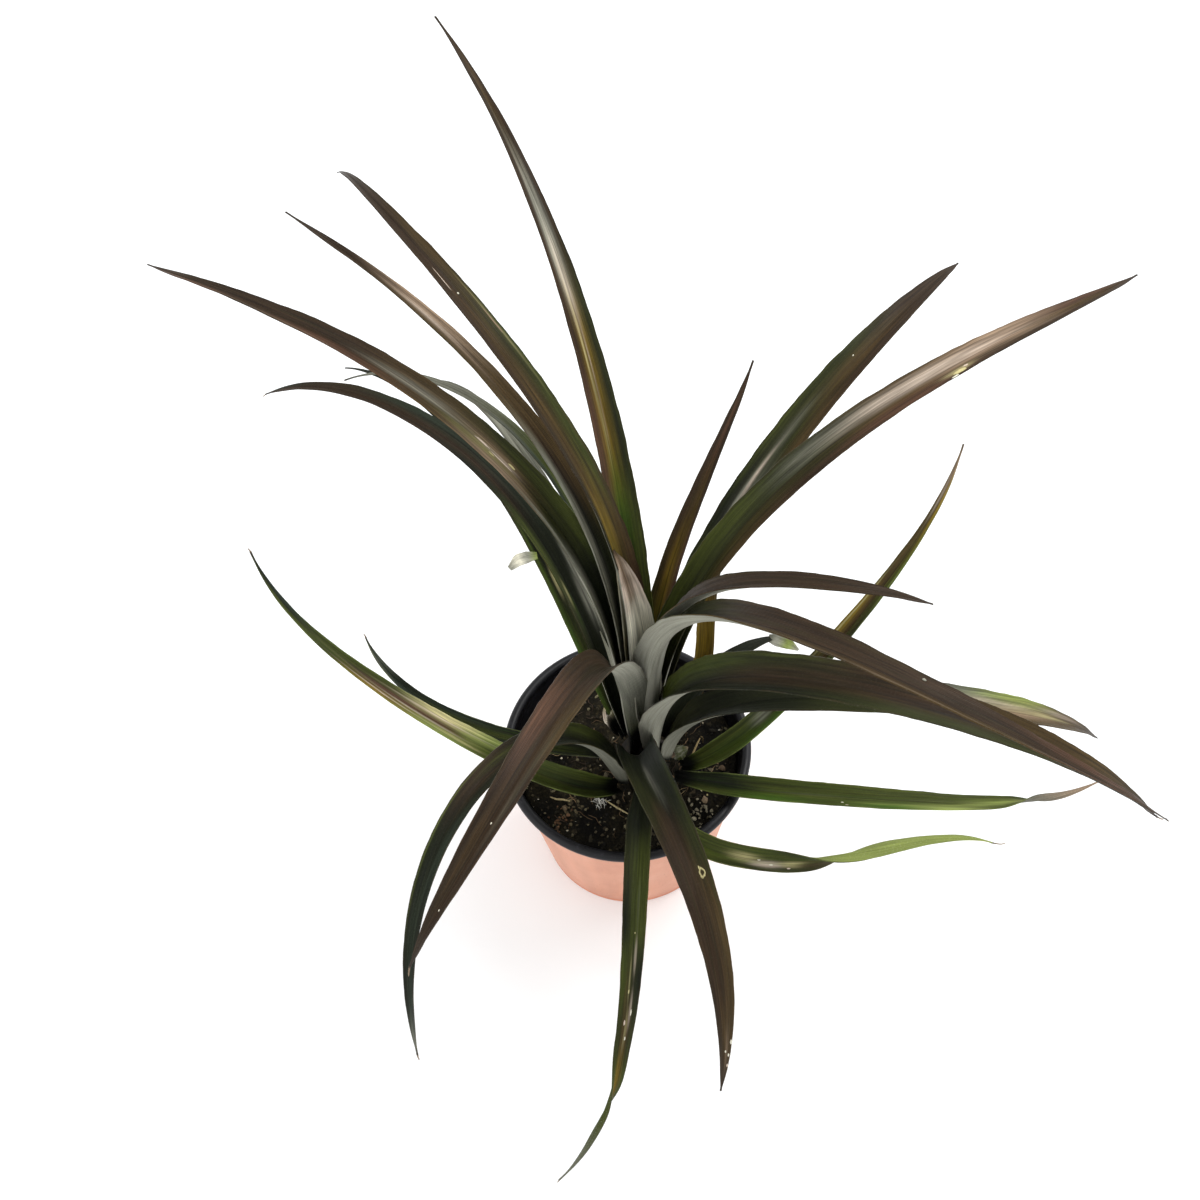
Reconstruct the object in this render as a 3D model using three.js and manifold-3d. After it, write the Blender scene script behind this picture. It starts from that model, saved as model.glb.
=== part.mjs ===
// A young pineapple plant in a plastic nursery pot, millimetres, Z up.
// The origin is the middle of the pot's underside, X runs right and Y away from the viewer.
import * as THREE from 'three';
import { mergeVertices } from 'three/addons/utils/BufferGeometryUtils.js';
import Module from 'manifold-3d';

const wasm = await Module();
wasm.setup();

// Room left between two separate pieces.
const gap = 0.3;

// Pot: a thin tapered tub with its rim rolled outward.
const potHeight = 87;
const rimRadius = 60;
const rollRadius = 2.4;
const footRadius = 45;
const wallTopRadius = 56.4;
const wallThickness = 1.3;
const floorThickness = 1.5;
const potSides = 48;

// Peat: fills the pot to a little below the rim, uneven on top.
const peatTop = 73;
const peatRings = 7;
const peatSides = 32;
const peatLumps = 12;

// Stem: a stout cone wrapped by the leaf bases, standing in the peat.
const stemX = 8;
const stemY = -5;
const stemFoot = 34;
const stemNeck = 74;
const stemNeckRadius = 9;
const stemShoulder = 82;
const stemRadius = 13.5;
const stemTop = 112;
const stemTipRadius = 3;
const stemSides = 20;

// Side bud: where its foot stands, its size and how far it leans out.
const bud = { x: 22, y: -6.2, z: 83.5, radius: 3.6, height: 11, lean: 40 };

// Leaf blades: thick along the middle, thin at the margins, channelled, narrower at the foot.
const footThickness = 1.7;
const marginThickness = 0.7;
const neckShare = 0.5;
const spreadLength = 28;
const tipWidth = 0.8;
const flatHalfWidth = 2;
const stationSpacing = 22;
const turnStations = 8;
const foldAngles = [30, 25, 25, 30];
const curlAngles = [50, 15, 5, 5];

// Each leaf, innermost first: the side of the stem it leaves by (degrees), its foot's distance
// from the stem's middle and height, its length and width, how early it tapers, its slope
// above the horizon from foot to tip, how its heading swings, and how the blade rolls about
// its own middle line. `turn` is a sharp twist: where, over how much of the length, by how
// many degrees. `cut` keeps only that share of the length, with a blunt end.
const leaves = [
  { name: 'leaf_heart', around: 115, reach: -2, foot: 112, length: 135, width: 18.5, taper: 5,
    slope: [88, 89, 85, 73], swing: [-4, 17, 31], roll: [0, 1, 2, -3],
    color: 0xb4b0a2 },
  { name: 'leaf_upright', around: 70, reach: 5.5, foot: 107, length: 193, width: 14, taper: 2,
    slope: [84, 78, 34, 34], swing: [-8, -27, -8], roll: [0, -1, -1, -1],
    color: 0x6a4a22 },
  { name: 'leaf_tallest', around: 94, reach: 6, foot: 106, length: 353, width: 20.5, taper: 1.6,
    slope: [85, 86, 48, 15], swing: [9, 17, 26], roll: [5, 6, 4, 2],
    color: 0x4f4a34 },
  { name: 'leaf_right_1', around: -19, reach: 4, foot: 104, length: 243, width: 17, taper: 3.4,
    slope: [80, 111, 53, -37], swing: [-16, -26, 24], roll: [-5, -16, -17, -6],
    color: 0x443f37 },
  { name: 'leaf_upper_right_1', around: 48, reach: 7.5, foot: 103, length: 294, width: 19.5, taper: 4.1,
    slope: [79, 63, 21, -24], swing: [-9, -13, 5], roll: [0, 2, 4, 6],
    color: 0x57513f },
  { name: 'leaf_upper_left_1', around: 113, reach: 5.5, foot: 105, length: 377, width: 19.5, taper: 2,
    slope: [83, 111, 30, -44], swing: [46, 19, -6], roll: [14, 19, 10, 5],
    color: 0x463f2c },
  { name: 'leaf_upper_left_2', around: 114, reach: 8.5, foot: 100, length: 339, width: 18, taper: 1.4,
    slope: [82, 103, 19, -16], swing: [16, 38, 11], roll: [-2, 4, 4, 2],
    color: 0x625839 },
  { name: 'leaf_upper_right_2', around: 37, reach: 7, foot: 102, length: 364, width: 20, taper: 2.5,
    slope: [87, 78, -7, -22], swing: [-22, -23, 7], roll: [8, 12, 10, 6],
    color: 0x665a40 },
  { name: 'leaf_right_2', around: -51, reach: 5, foot: 101, length: 384, width: 23, taper: 2.1,
    slope: [86, 106, -26, -54], swing: [-11, 3, 61], roll: [-9, -13, -19, -24],
    color: 0x4b473c },
  { name: 'leaf_upper_left_5', around: 115, reach: 11, foot: 94, length: 235, width: 9.5, taper: 2.8,
    slope: [77, 60, 15, -40], swing: [-3, 3, 16], roll: [0, 0, -1, -2],
    color: 0x72775f },
  { name: 'leaf_upper_left_3', around: 128, reach: 9.5, foot: 97, length: 374, width: 21, taper: 1.9,
    slope: [85, 93, 4, -23], swing: [20, 37, 4], roll: [-4, -1, 2, 2],
    color: 0x4f4730 },
  { name: 'leaf_upper_left_7', around: 115, reach: 10, foot: 96, length: 270, width: 9, taper: 2,
    slope: [84, 91, 27, -33], swing: [-9, 21, 51], roll: [0, 0, 0, 0],
    color: 0x8d8c79 },
  { name: 'leaf_upper_left_4', around: 130, reach: 12.5, foot: 91, length: 283, width: 14.5, taper: 3.1,
    slope: [69, 84, 18, -39], swing: [-12, 24, 26], roll: [2, 9, 5, -7],
    color: 0x3f4129 },
  { name: 'leaf_folded_left', around: 225, reach: 8.5, foot: 98, length: 298, width: 22, taper: 2.8,
    slope: [92, 85, 16, -64], swing: [35, 24, -8], roll: [8, -2, -6, 2],
    color: 0x5e4a3a, neck: 0.2, spread: 60 },
  { name: 'leaf_right_3', around: -52, reach: 9, foot: 94, length: 339, width: 23, taper: 3.1,
    slope: [87, 81, -45, -54], swing: [16, 35, 52], roll: [5, 11, 10, 4],
    color: 0x353c21, neck: 0.35, spread: 45 },
  { name: 'leaf_right_short', around: 34, reach: 13, foot: 88, length: 82, width: 11, taper: 3.5,
    slope: [67, 42, 6, -21], swing: [5, -5, -12], roll: [0, 0, 0, 0],
    color: 0x3a3a25 },
  { name: 'leaf_upper_right_3', around: 42, reach: 14, foot: 88, length: 236, width: 13, taper: 1.7,
    slope: [-20, 239, -46, 22], swing: [31, -2, -8], roll: [8, 5, 1, -1],
    color: 0x6e521f },
  { name: 'leaf_front', around: 255, reach: 11, foot: 90, length: 222, width: 24.5, taper: 1.9,
    slope: [86, 31, -45, -63], swing: [46, 39, -4], roll: [10, 9, 2, -1],
    color: 0x3d4231 },
  { name: 'leaf_upper_left_6', around: 130, reach: 14.5, foot: 85, length: 248, width: 12, taper: 1.4,
    slope: [60, 69, 33, -29], swing: [-14, -3, 14], roll: [-1, 0, 1, 1],
    color: 0x38481f },
  { name: 'leaf_right_4', around: -27, reach: 13, foot: 88, length: 277, width: 21, taper: 3.6,
    slope: [85, 52, -35, -55], swing: [-4, 28, 46], roll: [-3, 3, 12, 6],
    color: 0x5d5a3f, neck: 0.25, spread: 50 },
  { name: 'leaf_low_left_small', around: 175, reach: 15, foot: 83, length: 154, width: 12, taper: 1.8,
    slope: [11, 15, 52, 86], swing: [-2, -8, -21], roll: [0, 0, -1, -2],
    color: 0x2f3d33 },
  { name: 'leaf_right_slender', around: -15, reach: 19, foot: 79, length: 217, width: 16.5, taper: 1.3,
    slope: [39, 79, 31, 33], swing: [43, 39, 80], roll: [27, 9, -2, -2],
    color: 0x4e6b24 },
  { name: 'leaf_hanging_left', around: 221, reach: 17, foot: 81, length: 278, width: 18.5, taper: 1.4,
    slope: [75, 93, -60, -76], swing: [-23, 34, 45], roll: [-24, -5, 2, 3],
    color: 0x2b3422 },
  { name: 'leaf_low_front', around: 262, reach: 16, foot: 80, length: 197, width: 17.5, taper: 1.3,
    slope: [33, -16, -55, -20], swing: [2, 10, -50], roll: [-6, -1, 1, -2],
    color: 0x37422a, turn: { at: 0.77, over: 0.24, by: -175 } },
  { name: 'leaf_low_front_right', around: -84, reach: 16.5, foot: 80, length: 189, width: 15.5, taper: 1.6,
    slope: [19, 20, 11, -37], swing: [64, 122, 80], roll: [10, 17, 15, 6],
    color: 0x61723a, turn: { at: 0.56, over: 0.34, by: 175 } },
  { name: 'leaf_low_left', around: 220, reach: 19.5, foot: 78, length: 228, width: 17.5, taper: 1.3,
    slope: [46, 64, 7, 18], swing: [-70, -59, -107], roll: [-37, -8, 3, 2],
    color: 0x5c6839 },
  { name: 'leaf_low_right', around: -34, reach: 17.5, foot: 79, length: 209, width: 15, taper: 2.1,
    slope: [24, 18, -32, 2], swing: [30, 21, 57], roll: [23, 5, -3, -4],
    color: 0x486422, turn: { at: 0.84, over: 0.2, by: -175 } },
];

const stubs = [
  { name: 'stub_left', around: 148, reach: 14.5, foot: 96, length: 13, width: 15, taper: 2,
    slope: [64, 66], swing: [6], roll: [0, 0], cut: 0.35, color: 0x8f9082 },
  { name: 'stub_right', around: -25, reach: 4, foot: 97, length: 12, width: 14, taper: 2,
    slope: [-30, -42], swing: [-25], roll: [0, 0], cut: 0.35, color: 0x5a4630 },
];

const plainColors = { pot: 0xdba084, soil: 0x2d261e, stem: 0x6a7048, side_bud: 0x6e7462 };

const rad = (degrees) => degrees * Math.PI / 180;

// A smooth run through control values: starts at the first, ends at the last.
function blend(values, s) {
  let row = values;
  while (row.length > 1) {
    row = row.slice(1).map((next, i) => row[i] * (1 - s) + next * s);
  }
  return row[0];
}

// Where along a leaf its cross-sections stand, from 0 at the foot to 1 at the tip.
function stationsOf(leaf) {
  const count = Math.max(Math.round(leaf.length / stationSpacing), leaf.cut ? 3 : 8);
  const even = Array.from({ length: count + 1 }, (_, i) => i / count);
  if (!leaf.turn) return even;
  const { at, over } = leaf.turn;
  const outside = even.filter((s) => Math.abs(s - at) > over / 2 + 0.02);
  const inside = Array.from({ length: turnStations + 1 }, (_, i) => at + over * (i / turnStations - 0.5));
  return [...outside, ...inside].sort((a, b) => a - b);
}

function turnedBy(leaf, s) {
  if (!leaf.turn) return 0;
  const { at, over, by } = leaf.turn;
  const t = Math.min(Math.max((s - at) / over + 0.5, 0), 1);
  return by * t * t * (3 - 2 * t);
}

// Points down the middle of a leaf, each with its direction, side and upward vectors.
function middleLine(leaf) {
  const start = rad(leaf.around);
  const point = new THREE.Vector3(
    stemX + leaf.reach * Math.cos(start), stemY + leaf.reach * Math.sin(start), leaf.foot);
  const direction = (s) => {
    const slope = rad(blend(leaf.slope, s));
    const heading = rad(leaf.around + blend([0, ...leaf.swing], s));
    const along = new THREE.Vector3(
      Math.cos(slope) * Math.cos(heading), Math.cos(slope) * Math.sin(heading), Math.sin(slope));
    return { along, level: new THREE.Vector3(-Math.sin(heading), Math.cos(heading), 0) };
  };
  const steps = [];
  let from = 0;
  const fine = 8;
  for (const s of stationsOf(leaf)) {
    const step = (s - from) / fine;
    for (let k = 0; k < fine && step > 0; k += 1) {
      point.addScaledVector(direction(from + (k + 0.5) * step).along, leaf.length * step);
    }
    from = s;
    const { along, level } = direction(s);
    const side = level.applyAxisAngle(along, rad(blend(leaf.roll, s) + turnedBy(leaf, s)));
    steps.push({ s, point: point.clone(), along, side, up: along.clone().cross(side) });
  }
  return steps;
}

function bladeWidth(leaf, s) {
  const open = Math.min(s * leaf.length / (leaf.spread ?? spreadLength), 1) ** 0.7;
  const neck = leaf.neck ?? neckShare;
  const base = neck + (1 - neck) * open;
  const reached = s * (leaf.cut ?? 1);
  return Math.max(leaf.width * base * (1 - reached ** leaf.taper) ** 0.9, tipWidth);
}

// One channelled blade as a closed skin. `ease` grows it all round.
const across = [-1, -0.5, 0, 0.5, 1];
function blade(leaf, ease = 0) {
  const rows = middleLine(leaf);
  const positions = [];
  for (const row of rows) {
    const half = bladeWidth(leaf, row.s) / 2 + ease;
    // The channel flattens out where the tip is hardly wider than it is thick.
    const opened = Math.min(Math.max((half - ease) / flatHalfWidth, 0), 1) ** 2;
    const fold = rad(blend(foldAngles, row.s)) * opened;
    const curl = rad(blend(curlAngles, row.s)) * opened;
    const middle = marginThickness + (footThickness - marginThickness) * (1 - 0.6 * row.s);
    const skins = [1, -1].map((face) => across.map((u) => {
      const size = Math.abs(u);
      const mean = fold + curl * size / 2;
      const out = half * u * Math.cos(mean);
      const lift = half * size * Math.sin(mean);
      const thickness = marginThickness + (middle - marginThickness) * (1 - size ** 1.5);
      const shift = face * (thickness / 2 + ease);
      const tilt = Math.sign(u) * (fold + curl * size);
      return row.point.clone()
        .addScaledVector(row.side, out - shift * Math.sin(tilt))
        .addScaledVector(row.up, lift + shift * Math.cos(tilt));
    }));
    for (const p of [...skins[0], ...skins[1].reverse()]) positions.push(p.x, p.y, p.z);
  }
  const ring = across.length * 2;
  const faces = [];
  const last = rows.length - 1;
  for (let i = 0; i < last; i += 1) {
    for (let j = 0; j < ring; j += 1) {
      const a = i * ring + j;
      const b = i * ring + (j + 1) % ring;
      const c = a + ring;
      const d = b + ring;
      // The lower face is split the other way round, so both faces fold alike.
      if (j < across.length) faces.push(a, c, b, b, c, d);
      else faces.push(a, c, d, a, d, b);
    }
  }
  for (let j = 1; j < across.length; j += 1) {
    const under = ring - 1 - j;
    faces.push(j - 1, j, under, j - 1, under, under + 1);
    const end = last * ring;
    faces.push(end + j, end + j - 1, end + under, end + under, end + j - 1, end + under + 1);
  }
  return skinned(positions, faces);
}

function skinned(positions, faces) {
  const geometry = new THREE.BufferGeometry();
  geometry.setAttribute('position', new THREE.Float32BufferAttribute(positions, 3));
  geometry.setIndex(faces);
  return toSolid(geometry);
}

function toSolid(geometry) {
  const bare = geometry.clone();
  bare.deleteAttribute('normal');
  bare.deleteAttribute('uv');
  const merged = mergeVertices(bare, 1e-4);
  return new wasm.Manifold(new wasm.Mesh({
    numProp: 3,
    vertProperties: Float32Array.from(merged.attributes.position.array),
    triVerts: Uint32Array.from(merged.index.array),
  }));
}

function toGeometry(solid) {
  const mesh = solid.getMesh();
  const geometry = new THREE.BufferGeometry();
  geometry.setAttribute('position', new THREE.Float32BufferAttribute(mesh.vertProperties, 3));
  geometry.setIndex(Array.from(mesh.triVerts));
  return geometry;
}

function largestBody(solid) {
  const bodies = solid.decompose();
  return bodies.reduce((best, body) => (body.volume() > best.volume() ? body : best));
}

// Turns an outline of [radius, height] pairs about the Z axis.
function turned(outline, sides) {
  const points = outline.map(([r, z]) => new THREE.Vector2(r, z));
  return new THREE.LatheGeometry(points, sides).rotateX(Math.PI / 2);
}

// The tub's wall leans out evenly; `inset` is measured in from its outer face.
function wallRadius(z, inset) {
  const lean = (wallTopRadius - footRadius) / (potHeight - 5.5);
  return footRadius + lean * (z - 1.5) - inset;
}

function pot() {
  const rollX = rimRadius - rollRadius;
  const rollZ = potHeight - rollRadius;
  const roll = [-100, -60, -25, 10, 45, 80, 115, 150].map((a) => [
    rollX + rollRadius * Math.cos(rad(a)), rollZ + rollRadius * Math.sin(rad(a))]);
  const outline = [
    [0, 0],
    [footRadius - 1.2, 0],
    [footRadius, 1.5],
    [wallTopRadius, potHeight - 4],
    ...roll,
    [wallRadius(potHeight - 4.5, wallThickness), potHeight - 4.5],
    [wallRadius(floorThickness + 1.5, wallThickness), floorThickness + 1.5],
    [footRadius - 3.2, floorThickness],
    [0, floorThickness],
  ];
  return toSolid(turned(outline, potSides));
}

// Height of the uneven peat at a place.
function peatHeight(x, y) {
  const broad = Math.sin(x * 0.13 + 1.3) * Math.cos(y * 0.11 - 0.4);
  const middle = Math.sin(x * 0.41 + y * 0.23);
  const small = Math.cos(x * 0.83 - y * 0.61 + 2);
  return peatTop + 0.9 * broad + 0.5 * middle + 0.35 * small;
}

function peatBody() {
  const positions = [0, 0, peatHeight(0, 0)];
  const faces = [];
  const inset = wallThickness + gap;
  const floorZ = floorThickness + gap;
  const cornerZ = floorZ + 1.5;
  const edge = wallRadius(peatTop, inset) - 0.2;
  const ringAt = (radius, height) => {
    for (let i = 0; i < peatSides; i += 1) {
      const a = 2 * Math.PI * i / peatSides;
      const x = radius * Math.cos(a);
      const y = radius * Math.sin(a);
      positions.push(x, y, height ?? peatHeight(x, y));
    }
  };
  for (let k = 1; k <= peatRings; k += 1) ringAt(edge * k / peatRings);
  ringAt(wallRadius(cornerZ, inset), cornerZ);
  ringAt(footRadius - 3.6, floorZ);
  positions.push(0, 0, floorZ);
  const rings = peatRings + 2;
  const lastRing = 1 + (rings - 1) * peatSides;
  for (let i = 0; i < peatSides; i += 1) {
    const next = (i + 1) % peatSides;
    faces.push(0, 1 + i, 1 + next);
    for (let k = 0; k < rings - 1; k += 1) {
      const a = 1 + k * peatSides;
      const b = a + peatSides;
      faces.push(a + i, b + i, b + next, a + i, b + next, a + next);
    }
    faces.push(lastRing + i, 1 + rings * peatSides, lastRing + next);
  }
  return skinned(positions, faces);
}

// Peat with larger crumbs sunk in it and a hole for the stem.
function soil() {
  let body = peatBody();
  for (let i = 0; i < peatLumps; i += 1) {
    const a = i * 2.4;
    const radius = 24 + 21 * ((i * 0.37) % 1);
    const size = 2.6 + 0.9 * ((i * 0.61) % 1);
    const x = radius * Math.cos(a);
    const y = radius * Math.sin(a);
    const lump = new THREE.IcosahedronGeometry(size, 0)
      .rotateX(i * 1.1)
      .rotateZ(i * 0.7)
      .scale(1, 0.85, 0.62)
      .translate(x, y, peatHeight(x, y) - 0.3);
    body = body.add(toSolid(lump));
  }
  return body.subtract(stem(gap));
}

function stem(ease = 0) {
  const outline = [
    [0, stemFoot - ease],
    [stemNeckRadius * 0.7 + ease, stemFoot - ease],
    [stemNeckRadius + ease, stemNeck - 12],
    [stemNeckRadius + ease, stemNeck],
    [stemRadius + ease, stemShoulder],
    [stemTipRadius + ease, stemTop],
    [0, stemTop + 1 + ease],
  ];
  return toSolid(turned(outline, stemSides).translate(stemX, stemY, 0));
}

// An egg-shaped bud leaning out beside the stem.
function sideBud(ease = 0) {
  const outline = [
    [0, 0],
    [0.6, 0.06],
    [0.95, 0.3],
    [0.9, 0.55],
    [0.5, 0.85],
    [0, 1],
  ].map(([r, h]) => [r * (bud.radius + ease), h * (bud.height + 2 * ease) - ease]);
  return toSolid(turned(outline, 12).rotateY(rad(bud.lean)).translate(bud.x, bud.y, bud.z));
}

// Each blade keeps clear of the stem and of every blade further in.
const solids = { pot: pot(), soil: soil(), stem: stem() };
const colors = { ...plainColors };
const taken = [stem(gap)];
const clearOfOthers = (solid) => largestBody(taken.reduce((left, other) => left.subtract(other), solid));
for (const leaf of leaves) {
  solids[leaf.name] = clearOfOthers(blade(leaf));
  colors[leaf.name] = leaf.color;
  taken.push(blade(leaf, gap));
}
solids.side_bud = clearOfOthers(sideBud());
taken.push(sideBud(gap));
for (const stub of stubs) {
  solids[stub.name] = clearOfOthers(blade(stub));
  colors[stub.name] = stub.color;
  taken.push(blade(stub, gap));
}

const plant = new THREE.Group();
plant.name = 'potted_pineapple_plant';
for (const [name, solid] of Object.entries(solids)) {
  const roughness = name === 'soil' ? 0.95 : 0.5;
  const material = new THREE.MeshStandardMaterial({ color: colors[name], roughness, metalness: 0 });
  const mesh = new THREE.Mesh(toGeometry(solid), material);
  mesh.name = name;
  plant.add(mesh);
}

export default plant;
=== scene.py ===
"""A young pineapple plant in a two-tone nursery pot. Metres, Z up, the pot's underside on z = 0."""

import math
import random
from collections import namedtuple

import bpy
import numpy as np
from mathutils import Matrix, Vector, noise


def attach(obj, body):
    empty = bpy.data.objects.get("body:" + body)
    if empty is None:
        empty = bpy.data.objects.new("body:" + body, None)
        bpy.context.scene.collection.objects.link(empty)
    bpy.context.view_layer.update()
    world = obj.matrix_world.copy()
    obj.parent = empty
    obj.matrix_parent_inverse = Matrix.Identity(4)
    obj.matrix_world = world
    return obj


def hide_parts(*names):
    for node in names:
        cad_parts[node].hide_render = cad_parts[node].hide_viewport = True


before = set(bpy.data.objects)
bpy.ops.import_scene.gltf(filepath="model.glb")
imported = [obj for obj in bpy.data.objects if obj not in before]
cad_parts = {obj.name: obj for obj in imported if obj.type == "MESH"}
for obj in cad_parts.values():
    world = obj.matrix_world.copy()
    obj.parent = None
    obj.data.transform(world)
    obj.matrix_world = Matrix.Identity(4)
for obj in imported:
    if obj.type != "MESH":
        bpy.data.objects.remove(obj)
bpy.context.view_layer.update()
MM = 0.001

# Stem and pot sizes in millimetres, as in the solids.
STEM_X, STEM_Y = 8.0, -5.0
POT_HEIGHT = 87.0
RIM_RADIUS = 60.0
ROLL_RADIUS = 2.4
FOOT_RADIUS = 45.0
WALL_TOP_RADIUS = 56.4
WALL_THICKNESS = 1.3
FLOOR_THICKNESS = 1.5
PEAT_TOP = 73.0

# How finely things are cut.
BLADE_COLUMNS = 34
BLADE_ROW = 2.4  # millimetres from one row of a blade to the next
FLAKE_CELLS = 16
POT_SIDES = 144
PEAT_SIDES, PEAT_RINGS = 170, 62
STEM_SIDES = 48

# Blade thickness in millimetres. The scene's blades are a little thinner than the solids.
THICK_FOOT, THICK_MARGIN, THICK_LEAST, THICK_FULL = 1.55, 0.5, 0.4, 1.6
WEIGHT_STEPS = 40

CRUMB_COUNT, HEAP_CRUMBS, STRAND_COUNT, THREAD_COUNT = 900, 30, 90, 26
JOIN_EVERY = 40  # crumbs are joined in batches, which is quicker
FULL_CIRCLE = 6.2832


def linear(code):
    """A colour written as in a paint chart, turned into the renderer's linear values."""
    out = []
    for i in (0, 2, 4):
        c = int(code[i:i + 2], 16) / 255
        out.append(c / 12.92 if c <= 0.04045 else ((c + 0.055) / 1.055) ** 2.4)
    return np.array(out)


def opaque(code):
    return (*linear(code), 1)


def told(text):
    """The entries of a text such as "leaf_front: deep umber; stub_left: moss", by name."""
    return {name.strip(): words.strip() for name, words in (entry.split(":") for entry in text.split(";"))}


def rows_of(text):
    """An entry's rows, which commas part, as lists of words."""
    return [row.split() for row in text.split(",") if row]


# Leaf colours.
HUES = {name: linear(code) for name, code in told("""
    deep: 14180b; olive: 2a2d12; moss: 3e4519; green: 3d5718; lime: 84904c; bronze: 44351c;
    rust: 50382a; umber: 302316; slate: 252d22; gold: 77611f; tan: 8a7560; cream: cebdac;
    silver: 989789; grey: 67675b; straw: c6bc88; white: e4e0cc
""").items()}


def ease(t):
    return t * t * (3 - 2 * t)


def soft_step(low, high, x):
    return ease(np.clip((x - low) / (high - low), 0, 1))


def blend(values, s):
    """A smooth run through control values: starts at the first, ends at the last."""
    row = [np.full_like(s, float(v)) for v in values]
    while len(row) > 1:
        row = [a * (1 - s) + b * s for a, b in zip(row[:-1], row[1:])]
    return row[0]


def wander(x, y, seed, octaves=2):
    """Smooth random values from -1 to 1 at many places, the same on every run."""
    flat_x, flat_y = np.broadcast_arrays(x, y)
    out = [
        noise.fractal(Vector((float(a), float(b), seed * 7.31)), 0.6, 2.0, octaves)
        for a, b in zip(flat_x.ravel(), flat_y.ravel())
    ]
    return np.array(out).reshape(flat_x.shape)


# ---- leaf shapes
TIP_WIDTH, FLAT_HALF = 0.8, 2.0
FOLD, CURL = (30, 25, 25, 30), (50, 15, 5, 5)

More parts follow.
